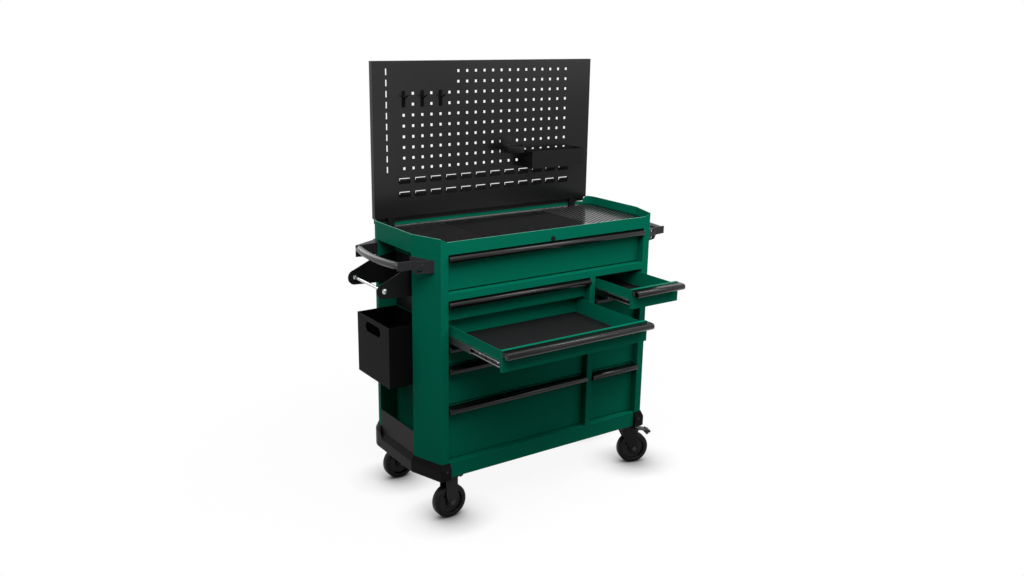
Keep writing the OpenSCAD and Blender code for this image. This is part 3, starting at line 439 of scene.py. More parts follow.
class Bench:
    """Modelling moves on the piece at hand.

    A screw's recess and dome are shares of the head's radius and height.
    """

    GROOVE_WALL = 0.5
    GROOVE_DEPTH = 0.6
    HEAD_DOME = 0.55

    @staticmethod
    def clear() -> None:
        """Deselect every object."""
        if bpy.context.object and bpy.context.object.mode != "OBJECT":
            bpy.ops.object.mode_set(mode="OBJECT")
        bpy.ops.object.select_all(action="DESELECT")

    @classmethod
    def cylinder(cls, name: str, radius: float, depth: float, sides: int) -> bpy.types.Object:
        """Start a piece from a cylinder that stands on the origin along +Z.

        Args:
            name: Name of the piece.
            radius: Radius in metres.
            depth: Height in metres.
            sides: Number of sides.

        Returns:
            The new object.
        """
        cls.clear()
        bpy.ops.mesh.primitive_cylinder_add(vertices=sides, radius=radius, depth=depth,
                                            location=(0.0, 0.0, depth / 2.0))
        piece = bpy.context.object
        piece.name = name
        cls.settle(piece)
        return piece

    @classmethod
    def plane(cls, name: str, width: float, depth: float,
              middle: Point = (0.0, 0.0, 0.0)) -> bpy.types.Object:
        """Start a piece from a level rectangle.

        Args:
            name: Name of the piece.
            width: Its length along X.
            depth: Its length along Y.
            middle: Its middle.

        Returns:
            The new object.
        """
        cls.clear()
        bpy.ops.mesh.primitive_plane_add(size=1.0, location=middle)
        piece = bpy.context.object
        piece.name = name
        piece.data.name = name
        piece.scale = (width, depth, 1.0)
        cls.settle(piece)
        return piece

    @classmethod
    def only(cls, piece: bpy.types.Object) -> None:
        """Make a piece the only one selected, and active.

        Args:
            piece: The piece.
        """
        cls.clear()
        piece.select_set(True)
        bpy.context.view_layer.objects.active = piece

    @classmethod
    def settle(cls, piece: bpy.types.Object) -> None:
        """Put a piece's place, turn and scale into its mesh."""
        cls.only(piece)
        bpy.ops.object.transform_apply(location=True, rotation=True, scale=True)

    @classmethod
    def pick_faces(cls, piece: bpy.types.Object,
                   wanted: Callable[[bpy.types.MeshPolygon], bool]) -> None:
        """Select faces by their place or normal and enter edit mode.

        Args:
            piece: The piece to edit.
            wanted: Test that a face has to pass.
        """
        cls.only(piece)
        for point in piece.data.vertices:
            point.select = False
        for edge in piece.data.edges:
            edge.select = False
        for face in piece.data.polygons:
            face.select = wanted(face)
        bpy.ops.object.mode_set(mode="EDIT")
        bpy.ops.mesh.select_mode(type="FACE")

    @classmethod
    def pick_edges(cls, piece: bpy.types.Object, wanted: Callable[[Vector, Vector], bool]) -> None:
        """Select edges by their two ends and enter edit mode.

        Args:
            piece: The piece to edit.
            wanted: Test of the two ends of an edge.
        """
        cls.only(piece)
        points = piece.data.vertices
        for face in piece.data.polygons:
            face.select = False
        for point in points:
            point.select = False
        for edge in piece.data.edges:
            edge.select = wanted(points[edge.vertices[0]].co, points[edge.vertices[1]].co)
        bpy.ops.object.mode_set(mode="EDIT")
        bpy.ops.mesh.select_mode(type="EDGE")

    @staticmethod
    def done() -> None:
        """Leave edit mode."""
        bpy.ops.object.mode_set(mode="OBJECT")

    @classmethod
    def stamp(cls, name: str, pattern: bpy.types.Object, spots: list[Spot]) -> bpy.types.Object:
        """Copy a pattern to many places and join the copies into one piece.

        Args:
            name: Name of the joined piece.
            pattern: Piece that stands on the origin along +Z.
            spots: Place and outward direction of each copy.

        Returns:
            The joined piece.
        """
        copies = []
        for place, way in spots:
            copy = pattern.copy()
            copy.data = pattern.data.copy()
            bpy.context.scene.collection.objects.link(copy)
            copy.matrix_world = Matrix.Translation(place) @ way.to_track_quat("Z", "Y").to_matrix().to_4x4()
            copies.append(copy)
        cls.clear()
        for copy in copies:
            copy.select_set(True)
        bpy.context.view_layer.objects.active = copies[0]
        bpy.ops.object.transform_apply(location=True, rotation=True, scale=True)
        if len(copies) > 1:
            bpy.ops.object.join()
        joined = bpy.context.view_layer.objects.active
        joined.name = name
        joined.data.name = name
        bpy.ops.object.shade_smooth_by_angle(angle=SMOOTH_ANGLE)
        return joined

    @classmethod
    def drop(cls, *patterns: bpy.types.Object) -> None:
        """Remove patterns that have been copied."""
        for pattern in patterns:
            bpy.data.objects.remove(pattern)

    @classmethod
    def round_rim(cls, piece: bpy.types.Object, height: float, width: float, segments: int) -> None:
        """Round the upper rim of a piece that stands on the origin.

        Args:
            piece: The piece.
            height: Its height.
            width: Width of the rounding.
            segments: Steps of the rounding.
        """
        reach = max(point.co.xy.length for point in piece.data.vertices)

        def on_rim(a: Vector, b: Vector) -> bool:
            """Tell whether an edge is on the upper rim."""
            return min(a.z, b.z) > height - TOUCH and min(a.xy.length, b.xy.length) > reach - TOUCH

        cls.pick_edges(piece, on_rim)
        bpy.ops.mesh.bevel(offset=width, segments=segments, affect="EDGES")
        cls.done()

    @classmethod
    def screw(cls, name: str, radius: float, height: float, groove: Groove,
              sides: int = 24) -> bpy.types.Object:
        """Model the head of a screw or rivet.

        Args:
            name: Name of the piece.
            radius: Radius of the head.
            height: Height of the head.
            groove: Shape of the recess.
            sides: Number of sides of the head.

        Returns:
            The head, standing on the origin along +Z.
        """
        head = cls.cylinder(name, radius, height, sides)
        if groove is not Groove.NONE:
            cls.pick_faces(head, faces_up)
            bpy.ops.mesh.inset(thickness=radius * cls.GROOVE_WALL, depth=0.0)
            sunk = (0.0, 0.0, -height * cls.GROOVE_DEPTH)
            bpy.ops.mesh.extrude_region_move(TRANSFORM_OT_translate={"value": sunk})
            cls.done()
        cls.round_rim(head, height, min(height, radius) * cls.HEAD_DOME, segments=3)
        return head


# Sub-assemblies


@dataclass
class Drawer:
    """One drawer with its pull and its slides."""

    name: str
    box: Paintbox
    pull_gap: float = 3 * MM
    slide_t: float = 12.5 * MM
    rail_t: float = 1.2 * MM
    slide_len: float = 370 * MM
    slide_start: float = 2 * MM
    bar_r: float = 11.5 * MM
    front_t: float = 12 * MM
    cap_t: float = 1.8 * MM
    cap_share: float = 0.985
    cap_dome: float = 0.95
    rivet_r: float = 3.0 * MM
    rivet_h: float = 0.9 * MM
    rivet_places: tuple[float, ...] = (0.06, 0.34, 0.62, 0.92)
    slot_l: float = 16 * MM
    slot_w: float = 5.5 * MM
    slot_h: float = 0.25 * MM
    slot_lip: float = 0.4 * MM
    slot_sink: float = 0.1 * MM
    slot_places: tuple[float, ...] = (0.14, 0.24, 0.44, 0.74, 0.84)
    stop_t: float = 2.0 * MM
    stop_round: float = 0.8 * MM
    stop_lower: float = 3.2 * MM
    stop_start: float = 2 * MM
    stop_seat: float = 1.25 * MM
    track_r: float = 1.0 * MM
    track_round: float = 0.4
    track_gap: float = 2 * MM
    track_in: float = 4.9 * MM
    track_up: float = 7.3 * MM
    wall_t: float = 1.2 * MM
    floor_up: float = 7.25 * MM
    tray_len: float = 372 * MM
    liner_t: float = 2.0 * MM
    liner_gap: float = 0.8 * MM
    liner_border: float = 5.0 * MM
    liner_step: float = 1.0 * MM
    liner_sink: float = 0.6 * MM

    def build(self) -> list[bpy.types.Object]:
        """Dress the drawer's nodes and add its fittings.

        Returns:
            The pieces that were added.
        """
        self._dress()
        return [self._caps(), self._rivets(), self._slots(), self._stops(), self._tracks(), self._liner()]

    @property
    def body(self) -> str:
        """Name of the body that the drawer moves with."""
        return f"{self.name}_drawer"

    def _dress(self) -> None:
        """Coat the box, plate the slide members with painted shade on their webs, and blacken the pull."""
        drawer = NODES[f"{self.name}_drawer"]
        low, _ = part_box(f"{self.name}_drawer")
        left, right = self._side_x()
        front = low.y + self.front_t + PAST
        self.box.dress(drawer, GREEN_COAT, SLIDE_ZINC, SLIDE_WEB_SHADE)
        # Painted shade: side-facing runner faces behind the front take the darker zinc.
        for face in drawer.data.polygons:
            middle = face.center
            if middle.y > front and not left - TOUCH < middle.x < right + TOUCH:
                face.material_index = 2 if faces_side(face) else 1
        self.box.dress(NODES[f"{self.name}_pull"], PULL_BLACK)
        self.box.plate_slides(NODES[f"{self.name}_midrails"])

    def _bay(self) -> tuple[float, float]:
        """Return the bay walls' two places along X."""
        low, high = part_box(f"{self.name}_pull")
        return low.x - self.pull_gap, high.x + self.pull_gap

    def _side_x(self) -> tuple[float, float]:
        """Return the places along X of the box's two outer sides."""
        low, high = self._bay()
        return low + self.slide_t, high - self.slide_t

    def _slide_line(self) -> tuple[float, float]:
        """Return the runner's front end along Y and its middle height.

        Returns:
            The two places.
        """
        low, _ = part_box(f"{self.name}_drawer")
        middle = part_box(f"{self.name}_midrails")
        return low.y + self.front_t + self.slide_start, (middle[0].z + middle[1].z) / 2.0

    def _caps(self) -> bpy.types.Object:
        """Model the domed caps on both ends of the pull's bar.

        Returns:
            The two caps as one piece.
        """
        low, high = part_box(f"{self.name}_pull")
        y = low.y + self.bar_r
        z = high.z - self.bar_r
        cap = Bench.cylinder("cap_pattern", self.bar_r * self.cap_share, self.cap_t, sides=32)
        Bench.round_rim(cap, self.cap_t, self.cap_t * self.cap_dome, segments=4)
        spots = [(Vector((low.x, y, z)), LEFT), (Vector((high.x, y, z)), RIGHT)]
        caps = Bench.stamp(f"{self.name}_pull_caps", cap, spots)
        Bench.drop(cap)
        return self.box.fit(caps, self.body, "pull_black", PULL_BLACK)

    def _web_spots(self, shares: tuple[float, ...]) -> list[Spot]:
        """Return spots along the web of both runners.

        Args:
            shares: Places along the runner, from 0 at the front to 1 at the rear.

        Returns:
            A place and an outward direction for each spot.
        """
        y, z = self._slide_line()
        left, right = self._side_x()
        spots = []
        for share in shares:
            along = y + share * self.slide_len
            spots.append((Vector((left - self.rail_t, along, z)), LEFT))
            spots.append((Vector((right + self.rail_t, along, z)), RIGHT))
        return spots

    def _rivets(self) -> bpy.types.Object:
        """Model the rivets that hold the runners to the box.

        Returns:
            The rivets as one piece.
        """
        rivet = Bench.screw("rivet_pattern", self.rivet_r, self.rivet_h, Groove.NONE, sides=16)
        rivets = Bench.stamp(f"{self.name}_runner_rivets", rivet, self._web_spots(self.rivet_places))
        Bench.drop(rivet)
        return self.box.fit(rivets, self.body, "slide_zinc", BRIGHT_STEEL)

    def _slots(self) -> bpy.types.Object:
        """Model the punched slots of the runners as shallow insets coloured near black, painted shade for
        the dark inside of each slot.

        Returns:
            The slots as one piece.
        """
        slot = Bench.cylinder("slot_pattern", self.slot_w / 2.0, self.slot_h, sides=16)
        half = (self.slot_l - self.slot_w) / 2.0
        for point in slot.data.vertices:
            if abs(point.co.y) > TOUCH:
                point.co.y += math.copysign(half, point.co.y)
        Bench.pick_faces(slot, faces_up)
        bpy.ops.mesh.inset(thickness=self.slot_lip, depth=-self.slot_sink)
        Bench.done()
        slots = Bench.stamp(f"{self.name}_runner_slots", slot, self._web_spots(self.slot_places))
        Bench.drop(slot)
        # Painted shade: the insets are coloured near black in place of open slots.
        return self.box.fit(slots, self.body, "slide_zinc", SLOT_SHADE)

    def _stops(self) -> bpy.types.Object:
        """Model the moulded stops at the front end of the middle slide members.

        Returns:
            The two stops as one piece.
        """
        low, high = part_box(f"{self.name}_midrails")
        height = high.z - low.z - self.stop_lower
        stop = Bench.cylinder("stop_pattern", height / 2.0, self.stop_t, sides=24)
        Bench.round_rim(stop, self.stop_t, self.stop_round, segments=2)
        y = low.y + height / 2.0 + self.stop_start
        z = (low.z + high.z) / 2.0
        spots = [(Vector((low.x + self.stop_seat, y, z)), RIGHT),
                 (Vector((high.x - self.stop_seat, y, z)), LEFT)]
        stops = Bench.stamp(f"{self.name}_rail_stops", stop, spots)
        Bench.drop(stop)
        return self.box.fit(stops, f"{self.name}_midrails", "pull_black", PULL_BLACK)

    def _tracks(self) -> bpy.types.Object:
        """Model the bright ball tracks along both edges of the runners.

        Returns:
            The tracks as one piece.
        """
        y, z = self._slide_line()
        low, high = self._bay()
        length = self.slide_len - 2.0 * self.track_gap
        track = Bench.cylinder("track_pattern", self.track_r, length, sides=12)
        Bench.pick_edges(track, lambda a, b: abs(a.z - b.z) < TOUCH)
        bpy.ops.mesh.bevel(offset=self.track_r * self.track_round, segments=2, affect="EDGES")
        Bench.done()
        spots = []
        for x in (low + self.track_in, high - self.track_in):
            for up in (-self.track_up, self.track_up):
                spots.append((Vector((x, y + self.track_gap, z + up)), Vector((0, 1, 0))))
        tracks = Bench.stamp(f"{self.name}_runner_tracks", track, spots)
        Bench.drop(track)
        return self.box.fit(tracks, self.body, "slide_zinc", SLIDE_ZINC)

    def _liner(self) -> bpy.types.Object:
        """Model the soft liner with a raised border on the floor of the box.

        Returns:
            The liner.
        """
        low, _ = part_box(f"{self.name}_drawer")
        left, right = self._side_x()
        wall = self.wall_t + self.liner_gap
        x0, x1 = left + wall, right - wall
        y0 = low.y + self.front_t + self.liner_gap
        y1 = low.y + self.front_t + self.tray_len - wall
        z = low.z + self.floor_up
        middle = ((x0 + x1) / 2.0, (y0 + y1) / 2.0, z)
        liner = Bench.plane(f"{self.name}_liner", x1 - x0, y1 - y0, middle)
        Bench.pick_faces(liner, lambda face: True)
        bpy.ops.mesh.extrude_region_move(TRANSFORM_OT_translate={"value": (0.0, 0.0, self.liner_t)})
        Bench.done()
        Bench.pick_faces(liner, lambda face: faces_up(face) and face.center.z > z + self.liner_t / 2.0)
        bpy.ops.mesh.inset(thickness=self.liner_border, depth=0.0)
        bpy.ops.mesh.inset(thickness=self.liner_step, depth=-self.liner_sink)
        Bench.done()
        Bench.pick_faces(liner, lambda face: True)
        bpy.ops.mesh.normals_make_consistent(inside=False)
        Bench.done()
        return self.box.fit(liner, self.body, "pull_black", LINER_BLACK)


@dataclass
class Body:
    """The sheet-steel body with its worktop, board and end fittings."""

    box: Paintbox
    plain: dict[str, Finish] = field(default_factory=lambda: {
        "end_frames": GREEN_COAT, "face_frame": GREEN_COAT, "back_panel": GREEN_COAT,
        "base_pan": GREEN_COAT, "centre_wall": GREEN_COAT, "end_bumpers": BUMPER_BLACK,
        "push_bars": BAR_GREY, "push_brackets": BRACKET_BLACK, "pegboard": BOARD_BLACK,
        "board_posts": BLACK_COAT, "board_hooks": BIN_BLACK, "cup_holder": BLACK_COAT,
        "can_pocket": BLACK_COAT, "side_bin": BIN_BLACK, "roll_bracket": BLACK_COAT,
        "roll_spindle": BRIGHT_STEEL, "side_pocket": GREY_COAT, "lock_cylinder": LOCK_DARK})
    sheet: float = 1.5 * MM
    board_gap: float = 0.5 * MM
    groove_depth: float = 2 * MM
    groove_slack: float = 0.1 * MM
    screw_r: float = 4.2 * MM
    screw_h: float = 2.0 * MM
    screw_sink: float = 1.2 * MM
    screw_up: float = 36 * MM
    screw_in: float = 69 * MM
    rear_r: float = 65 * MM
    arc_steps: int = 10
    rim_t: float = 3 * MM
    rim_round: float = 0.7 * MM
    rim_slope: float = 24 * MM
    rear_drop: float = 32 * MM
    fold_h: float = 8.5 * MM
    crest_in: float = 3.5 * MM
    crest_fall: float = 1.57
    peg_pitch: float = 38 * MM
    peg_top: float = 37 * MM
    peg_columns: int = 20
    peg_rows: int = 10
    louvre_w: float = 46 * MM
    louvre_h: float = 20 * MM
    louvre_d: float = 7 * MM
    louvre_gap: float = 2 * MM
    louvre_edge: float = 3.8 * MM
    louvre_round: float = 0.3 * MM
    louvre_count: int = 12
    louvre_pitches: tuple[float, ...] = (1.2, 2.5)

    def build(self) -> list[bpy.types.Object]:
        """Dress the body's nodes and add its fasteners.

        Returns:
            The pieces that were added.
        """
        for node, finish in self.plain.items():
            self.box.dress(NODES[node], finish)
        self.box.plate_slides(NODES["slide_channels"])
        self._tops()
        return [self._bumper_screws(), self._rear_rim(), self._louvre_edges()]

    def _tops(self) -> None:
        """Coat the tray and the mat, with painted highlights: a paler top on the rim and paler floors of the
        mat's grooves.
        """
        tray = NODES["worktop_tray"]
        self.box.dress(tray, GREEN_COAT, RIM_HIGHLIGHT)
        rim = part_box("worktop_tray")[1].z - self.rear_drop + PAST
        # Painted highlight: the rim's top faces take a paler green for the light that catches the rim.
        for face in tray.data.polygons:
            if faces_up(face) and face.center.z > rim:
                face.material_index = 1
        mat = NODES["worktop_mat"]
        self.box.dress(mat, MAT_BLACK, MAT_GROOVE_HIGHLIGHT)
        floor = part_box("worktop_mat")[1].z - self.groove_depth
        # Painted highlight: the floors of the mat's grooves take a paler grey for the reflections along the
        # ribs.
        for face in mat.data.polygons:
            if faces_up(face) and abs(face.center.z - floor) < self.groove_slack:
                face.material_index = 1

    def _rim_band(self) -> bpy.types.Object:
        """Model an upright band along the tray's rear and round its two rear corners.

        Returns:
            The open sheet, up to the height of the rim.
        """
        _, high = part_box("worktop_tray")
        middle = high.y - self.rear_r
        Bench.clear()
        bpy.ops.mesh.primitive_cylinder_add(
            vertices=4 * self.arc_steps, radius=self.rear_r, depth=self.rear_drop, end_fill_type="NOTHING",
            location=(0.0, middle, high.z - self.rear_drop / 2.0))
        band = bpy.context.object
        band.name = "rear_rim_fold"
        band.data.name = band.name
        Bench.settle(band)
        Bench.pick_faces(band, lambda face: face.center.y < middle)
        bpy.ops.mesh.delete(type="FACE")
        Bench.done()
        for sign in (-1, 1):
            Bench.pick_faces(band, lambda face: face.center.x * sign > 0.0)
            bpy.ops.mesh.split()
            bpy.ops.transform.translate(value=(sign * (high.x - self.rear_r), 0.0, 0.0))
            Bench.done()
        Bench.pick_edges(band, lambda a, b: min(a.y, b.y) > high.y - TOUCH and abs(a.x - b.x) < TOUCH)
        bpy.ops.mesh.bridge_edge_loops()
        Bench.done()
        return band

    def _rear_rim(self) -> bpy.types.Object:
        """Model the fold that raises the tray's rear rim and carries its ends up to the board.

        Returns:
            The fold.
        """
        _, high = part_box("worktop_tray")
        face_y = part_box("pegboard")[0].y + self.louvre_d - self.board_gap
        base = high.z - self.rear_drop
        fold_z = base + self.fold_h
        crest_y = face_y - self.crest_in
        fold = self._rim_band()
        cuts = ((Vector((0.0, 0.0, fold_z)), Vector((0.0, 0.0, 1.0))),
                (Vector((0.0, face_y, base)), Vector((0.0, self.rear_drop, self.rim_slope))),
                (Vector((0.0, crest_y, high.z)), Vector((0.0, self.crest_fall, 1.0))))
        for place, way in cuts:
            Bench.pick_faces(fold, lambda face: True)
            bpy.ops.mesh.bisect(plane_co=place, plane_no=way)
            Bench.done()

        def spare(face: bpy.types.MeshPolygon) -> bool:
            """Tell whether a face of the band lies below the rim's edge or above the fold's own.

            Args:
                face: A face of the band.

            Returns:
                True where the fold doesn't need the face.
            """
            rise = max(0.0, face_y - face.center.y) / self.rim_slope * self.rear_drop
            fall = max(0.0, face.center.y - crest_y) * self.crest_fall
            under = face.center.z < min(high.z, base + rise)
            return under or face.center.z > max(fold_z, high.z - fall)

        Bench.pick_faces(fold, spare)
        bpy.ops.mesh.delete(type="FACE")
        bpy.ops.mesh.select_all(action="SELECT")
        bpy.ops.mesh.normals_make_consistent(inside=False)
        Bench.done()
        self._thicken(fold, self.rim_t, self.rim_round)
        return self.box.fit(fold, "cabinet", "green_coat", GREEN_COAT)

    def _louvre_edges(self) -> bpy.types.Object:
        """Model the sheet's edges that frame the gap behind each louvre.

        Returns:
            The edges as one piece.
        """
        low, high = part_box("pegboard")
        edge = Bench.plane("edge_pattern", self.louvre_w + 2.0 * self.louvre_gap, self.louvre_h)
        Bench.pick_faces(edge, lambda face: True)
        bpy.ops.mesh.inset(thickness=self.louvre_edge, depth=0.0)
        bpy.ops.mesh.delete(type="FACE")
        Bench.done()
        self._thicken(edge, self.sheet, self.louvre_round)
        first = -(self.peg_columns - 1) * self.peg_pitch / 2.0
        step = -2.0 * first / (self.louvre_count - 1)
        last_row = high.z - self.peg_top - (self.peg_rows - 1) * self.peg_pitch
        spots = []
        for pitches in self.louvre_pitches:
            z = last_row - pitches * self.peg_pitch + self.louvre_h / 4.0
            for i in range(self.louvre_count):
                spots.append((Vector((first + i * step, low.y + self.louvre_d, z)), Vector((0, -1, 0))))
        edges = Bench.stamp("louvre_edges", edge, spots)
        Bench.drop(edge)
        return self.box.fit(edges, "cabinet", "black_coat", BOARD_BLACK)

    @staticmethod
    def _thicken(piece: bpy.types.Object, wall: float, rounding: float) -> None:
        """Give a sheet its wall behind its face and round its edges.

        Args:
            piece: The sheet.
            wall: Thickness of the wall.
            rounding: Width of the rounding.
        """
        Bench.only(piece)
        solid = piece.modifiers.new("wall", "SOLIDIFY")
        solid.thickness = wall
        solid.offset = -1.0
        bpy.ops.object.modifier_apply(modifier="wall")
        soft = piece.modifiers.new("rounded_edges", "BEVEL")
        soft.width = rounding
        soft.segments = 2
        soft.limit_method = "ANGLE"
        soft.angle_limit = FOLD_ANGLE
        bpy.ops.object.modifier_apply(modifier="rounded_edges")

    def _bumper_screws(self) -> bpy.types.Object:
        """Model the screws that hold the bumpers' returns on the front.

        Returns:
            The screws as one piece.
        """
        screw = Bench.screw("screw_pattern", self.screw_r, self.screw_h, Groove.ROUND)
        low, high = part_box("end_bumpers")
        y = low.y + self.screw_sink
        z = low.z + self.screw_up
        ends = (low.x + self.screw_in, high.x - self.screw_in)
        spots = [(Vector((x, y, z)), Vector((0, -1, 0))) for x in ends]
        screws = Bench.stamp("bumper_screws", screw, spots)
        Bench.drop(screw)
        return self.box.fit(screws, "cabinet", "slide_zinc", DARK_STEEL)


@dataclass
class Casters:
    """Forks, pedals, wheels and their fasteners."""

    box: Paintbox
    fork_half: float = 24 * MM
    fork_slack: float = 0.05 * MM
    wheel_r: float = 62.5 * MM
    rim_share: float = 0.7
    plate_w: float = 82 * MM
    plate_d: float = 60 * MM
    plate_t: float = 6 * MM
    nut_in: float = 7 * MM
    nut_r: float = 6.0 * MM
    nut_h: float = 4.5 * MM
    swivel_turn: float = math.radians(20.0)

    def build(self) -> list[bpy.types.Object]:
        """Dress the casters' nodes and add their fasteners.

        Returns:
            The pieces that were added.
        """
        straight = Vector((0.0, 1.0, 0.0))
        turned = Vector((math.sin(self.swivel_turn), math.cos(self.swivel_turn), 0.0))
        axes = {"front_left_wheel": straight, "rear_left_wheel": straight, "front_right_wheel": turned,
                "rear_right_wheel": straight}
        self._forks("caster_mounts", ("front_left_wheel", "rear_left_wheel"), axes, CASTER_STEEL)
        for end in ("front", "rear"):
            self._forks(f"{end}_swivel_fork", (f"{end}_right_wheel",), axes, SWIVEL_STEEL)
            self.box.dress(NODES[f"{end}_brake_pedal"], PEDAL_GREY)
        for name, axis in axes.items():
            self._wheel(name, axis)
        return [self._plate_nuts()]

    @staticmethod
    def _hub(wheel: str) -> Vector:
        """Return the middle of a wheel."""
        low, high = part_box(wheel)
        return (Vector(low) + Vector(high)) / 2.0

    def _forks(self, forks: str, wheels: tuple[str, ...], axes: dict[str, Vector], finish: Finish) -> None:
        """Coat forks and blacken the heads of their axles.

        Args:
            forks: Name of the node.
            wheels: Wheels that the forks carry.
            axes: Direction of each wheel's axle.
            finish: Finish of the forks.
        """
        node = NODES[forks]
        self.box.dress(node, finish, DARK_STEEL)
        for wheel in wheels:
            hub = self._hub(wheel)
            for face in node.data.polygons:
                away = face.center - hub
                outside = abs(away.dot(axes[wheel])) > self.fork_half + self.fork_slack
                if outside and away.length < self.wheel_r:
                    face.material_index = 1

    def _wheel(self, name: str, axis: Vector) -> None:
        """Give a wheel its rubber tyre and its moulded hub.

        Args:
            name: Name of the wheel's node.
            axis: Direction of its axle.
        """
        wheel = NODES[name]
        self.box.dress(wheel, WHEEL_RUBBER, WHEEL_HUB)
        hub = self._hub(name)
        for face in wheel.data.polygons:
            away = face.center - hub
            reach = (away - away.dot(axis) * axis).length
            if reach < self.wheel_r * self.rim_share:
                face.material_index = 1

    def _plate_nuts(self) -> bpy.types.Object:
        """Model the nuts under the mounting plates.

        Returns:
            The nuts as one piece.
        """
        nut = Bench.screw("nut_pattern", self.nut_r, self.nut_h, Groove.ROUND, sides=6)
        _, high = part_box("caster_mounts")
        plate_x = high.x - self.plate_w / 2.0
        plate_y = high.y - self.plate_d / 2.0
        nut_x = self.plate_w / 2.0 - self.nut_in
        nut_y = self.plate_d / 2.0 - self.nut_in
        under = high.z - self.plate_t
        spots = []
        for x in (-plate_x, plate_x):
            for y in (-plate_y, plate_y):
                for dx in (-nut_x, nut_x):
                    for dy in (-nut_y, nut_y):
                        spots.append((Vector((x + dx, y + dy, under)), Vector((0, 0, -1))))
        nuts = Bench.stamp("plate_nuts", nut, spots)
        Bench.drop(nut)
        return self.box.fit(nuts, "cabinet", "slide_zinc", DARK_STEEL)


@dataclass
class EdgeRounding:
    """Small live bevels on the edges of the carried-over nodes, with widths in millimetres."""

    widths: dict[str, float] = field(default_factory=lambda: {
        "worktop_tray": 0.9, "end_frames": 0.5, "face_frame": 0.5, "end_bumpers": 1.2, "push_brackets": 2.0,
        "side_bin": 0.7, "roll_bracket": 0.6, "can_pocket": 0.5, "side_pocket": 0.5, "caster_mounts": 0.8,
        "front_swivel_fork": 0.8, "rear_swivel_fork": 0.8, "front_brake_pedal": 1.2, "rear_brake_pedal": 1.2,
        "worktop_mat": 0.5, "board_hooks": 0.5, "cup_holder": 0.6, "board_posts": 0.4, "push_bars": 0.5,
        "roll_spindle": 0.4, "lock_cylinder": 0.4})
    curved: tuple[str, ...] = ("push_bars", "roll_spindle", "lock_cylinder", "cup_holder", "board_hooks")
    drawer_width: float = 0.55
    round_width: float = 0.8
    sharp_angle: float = math.radians(32.0)

    def apply(self) -> None:
        """Add the bevels."""
        for node, width in self.widths.items():
            self._round(NODES[node], width, node in self.curved)
        for node, piece in NODES.items():
            if node.endswith("_drawer"):
                self._round(piece, self.drawer_width)
            elif node.endswith(("_pull", "_wheel")):
                self._round(piece, self.round_width, True)

    def _round(self, piece: bpy.types.Object, width: float, curved: bool = False) -> None:
        """Weld a node's loose triangles and round its sharp edges.

        Args:
            piece: The node.
            width: Width of the rounding in millimetres.
            curved: Whether its facets stand for round faces, which are then shaded smooth.
        """
        for face in piece.data.polygons:
            face.use_smooth = curved
        weld = piece.modifiers.new("weld", "WELD")
        weld.merge_threshold = TOUCH
        bevel = piece.modifiers.new("rounded_edges", "BEVEL")
        bevel.width = width * MM
        bevel.segments = 2
        bevel.limit_method = "ANGLE"
        bevel.angle_limit = self.sharp_angle
        bevel.harden_normals = curved


@dataclass(frozen=True)
class Softbox:
    """A soft box: its place, the point it faces, its two sides and its power in watts."""

    name: str
    place: Point
    aim: Point
    width: float
    height: float
    power: float

    def hang(self) -> None:
        """Hang the lamp."""
        lamp = bpy.data.lights.new(self.name, "AREA")
        lamp.shape = "RECTANGLE"
        lamp.energy = self.power
        lamp.size = self.width
        lamp.size_y = self.height
        holder = bpy.data.objects.new(self.name, lamp)
        bpy.context.scene.collection.objects.link(holder)
        holder.location = self.place
        way = Vector(self.aim) - Vector(self.place)
        holder.rotation_euler = way.to_track_quat("-Z", "Y").to_euler()


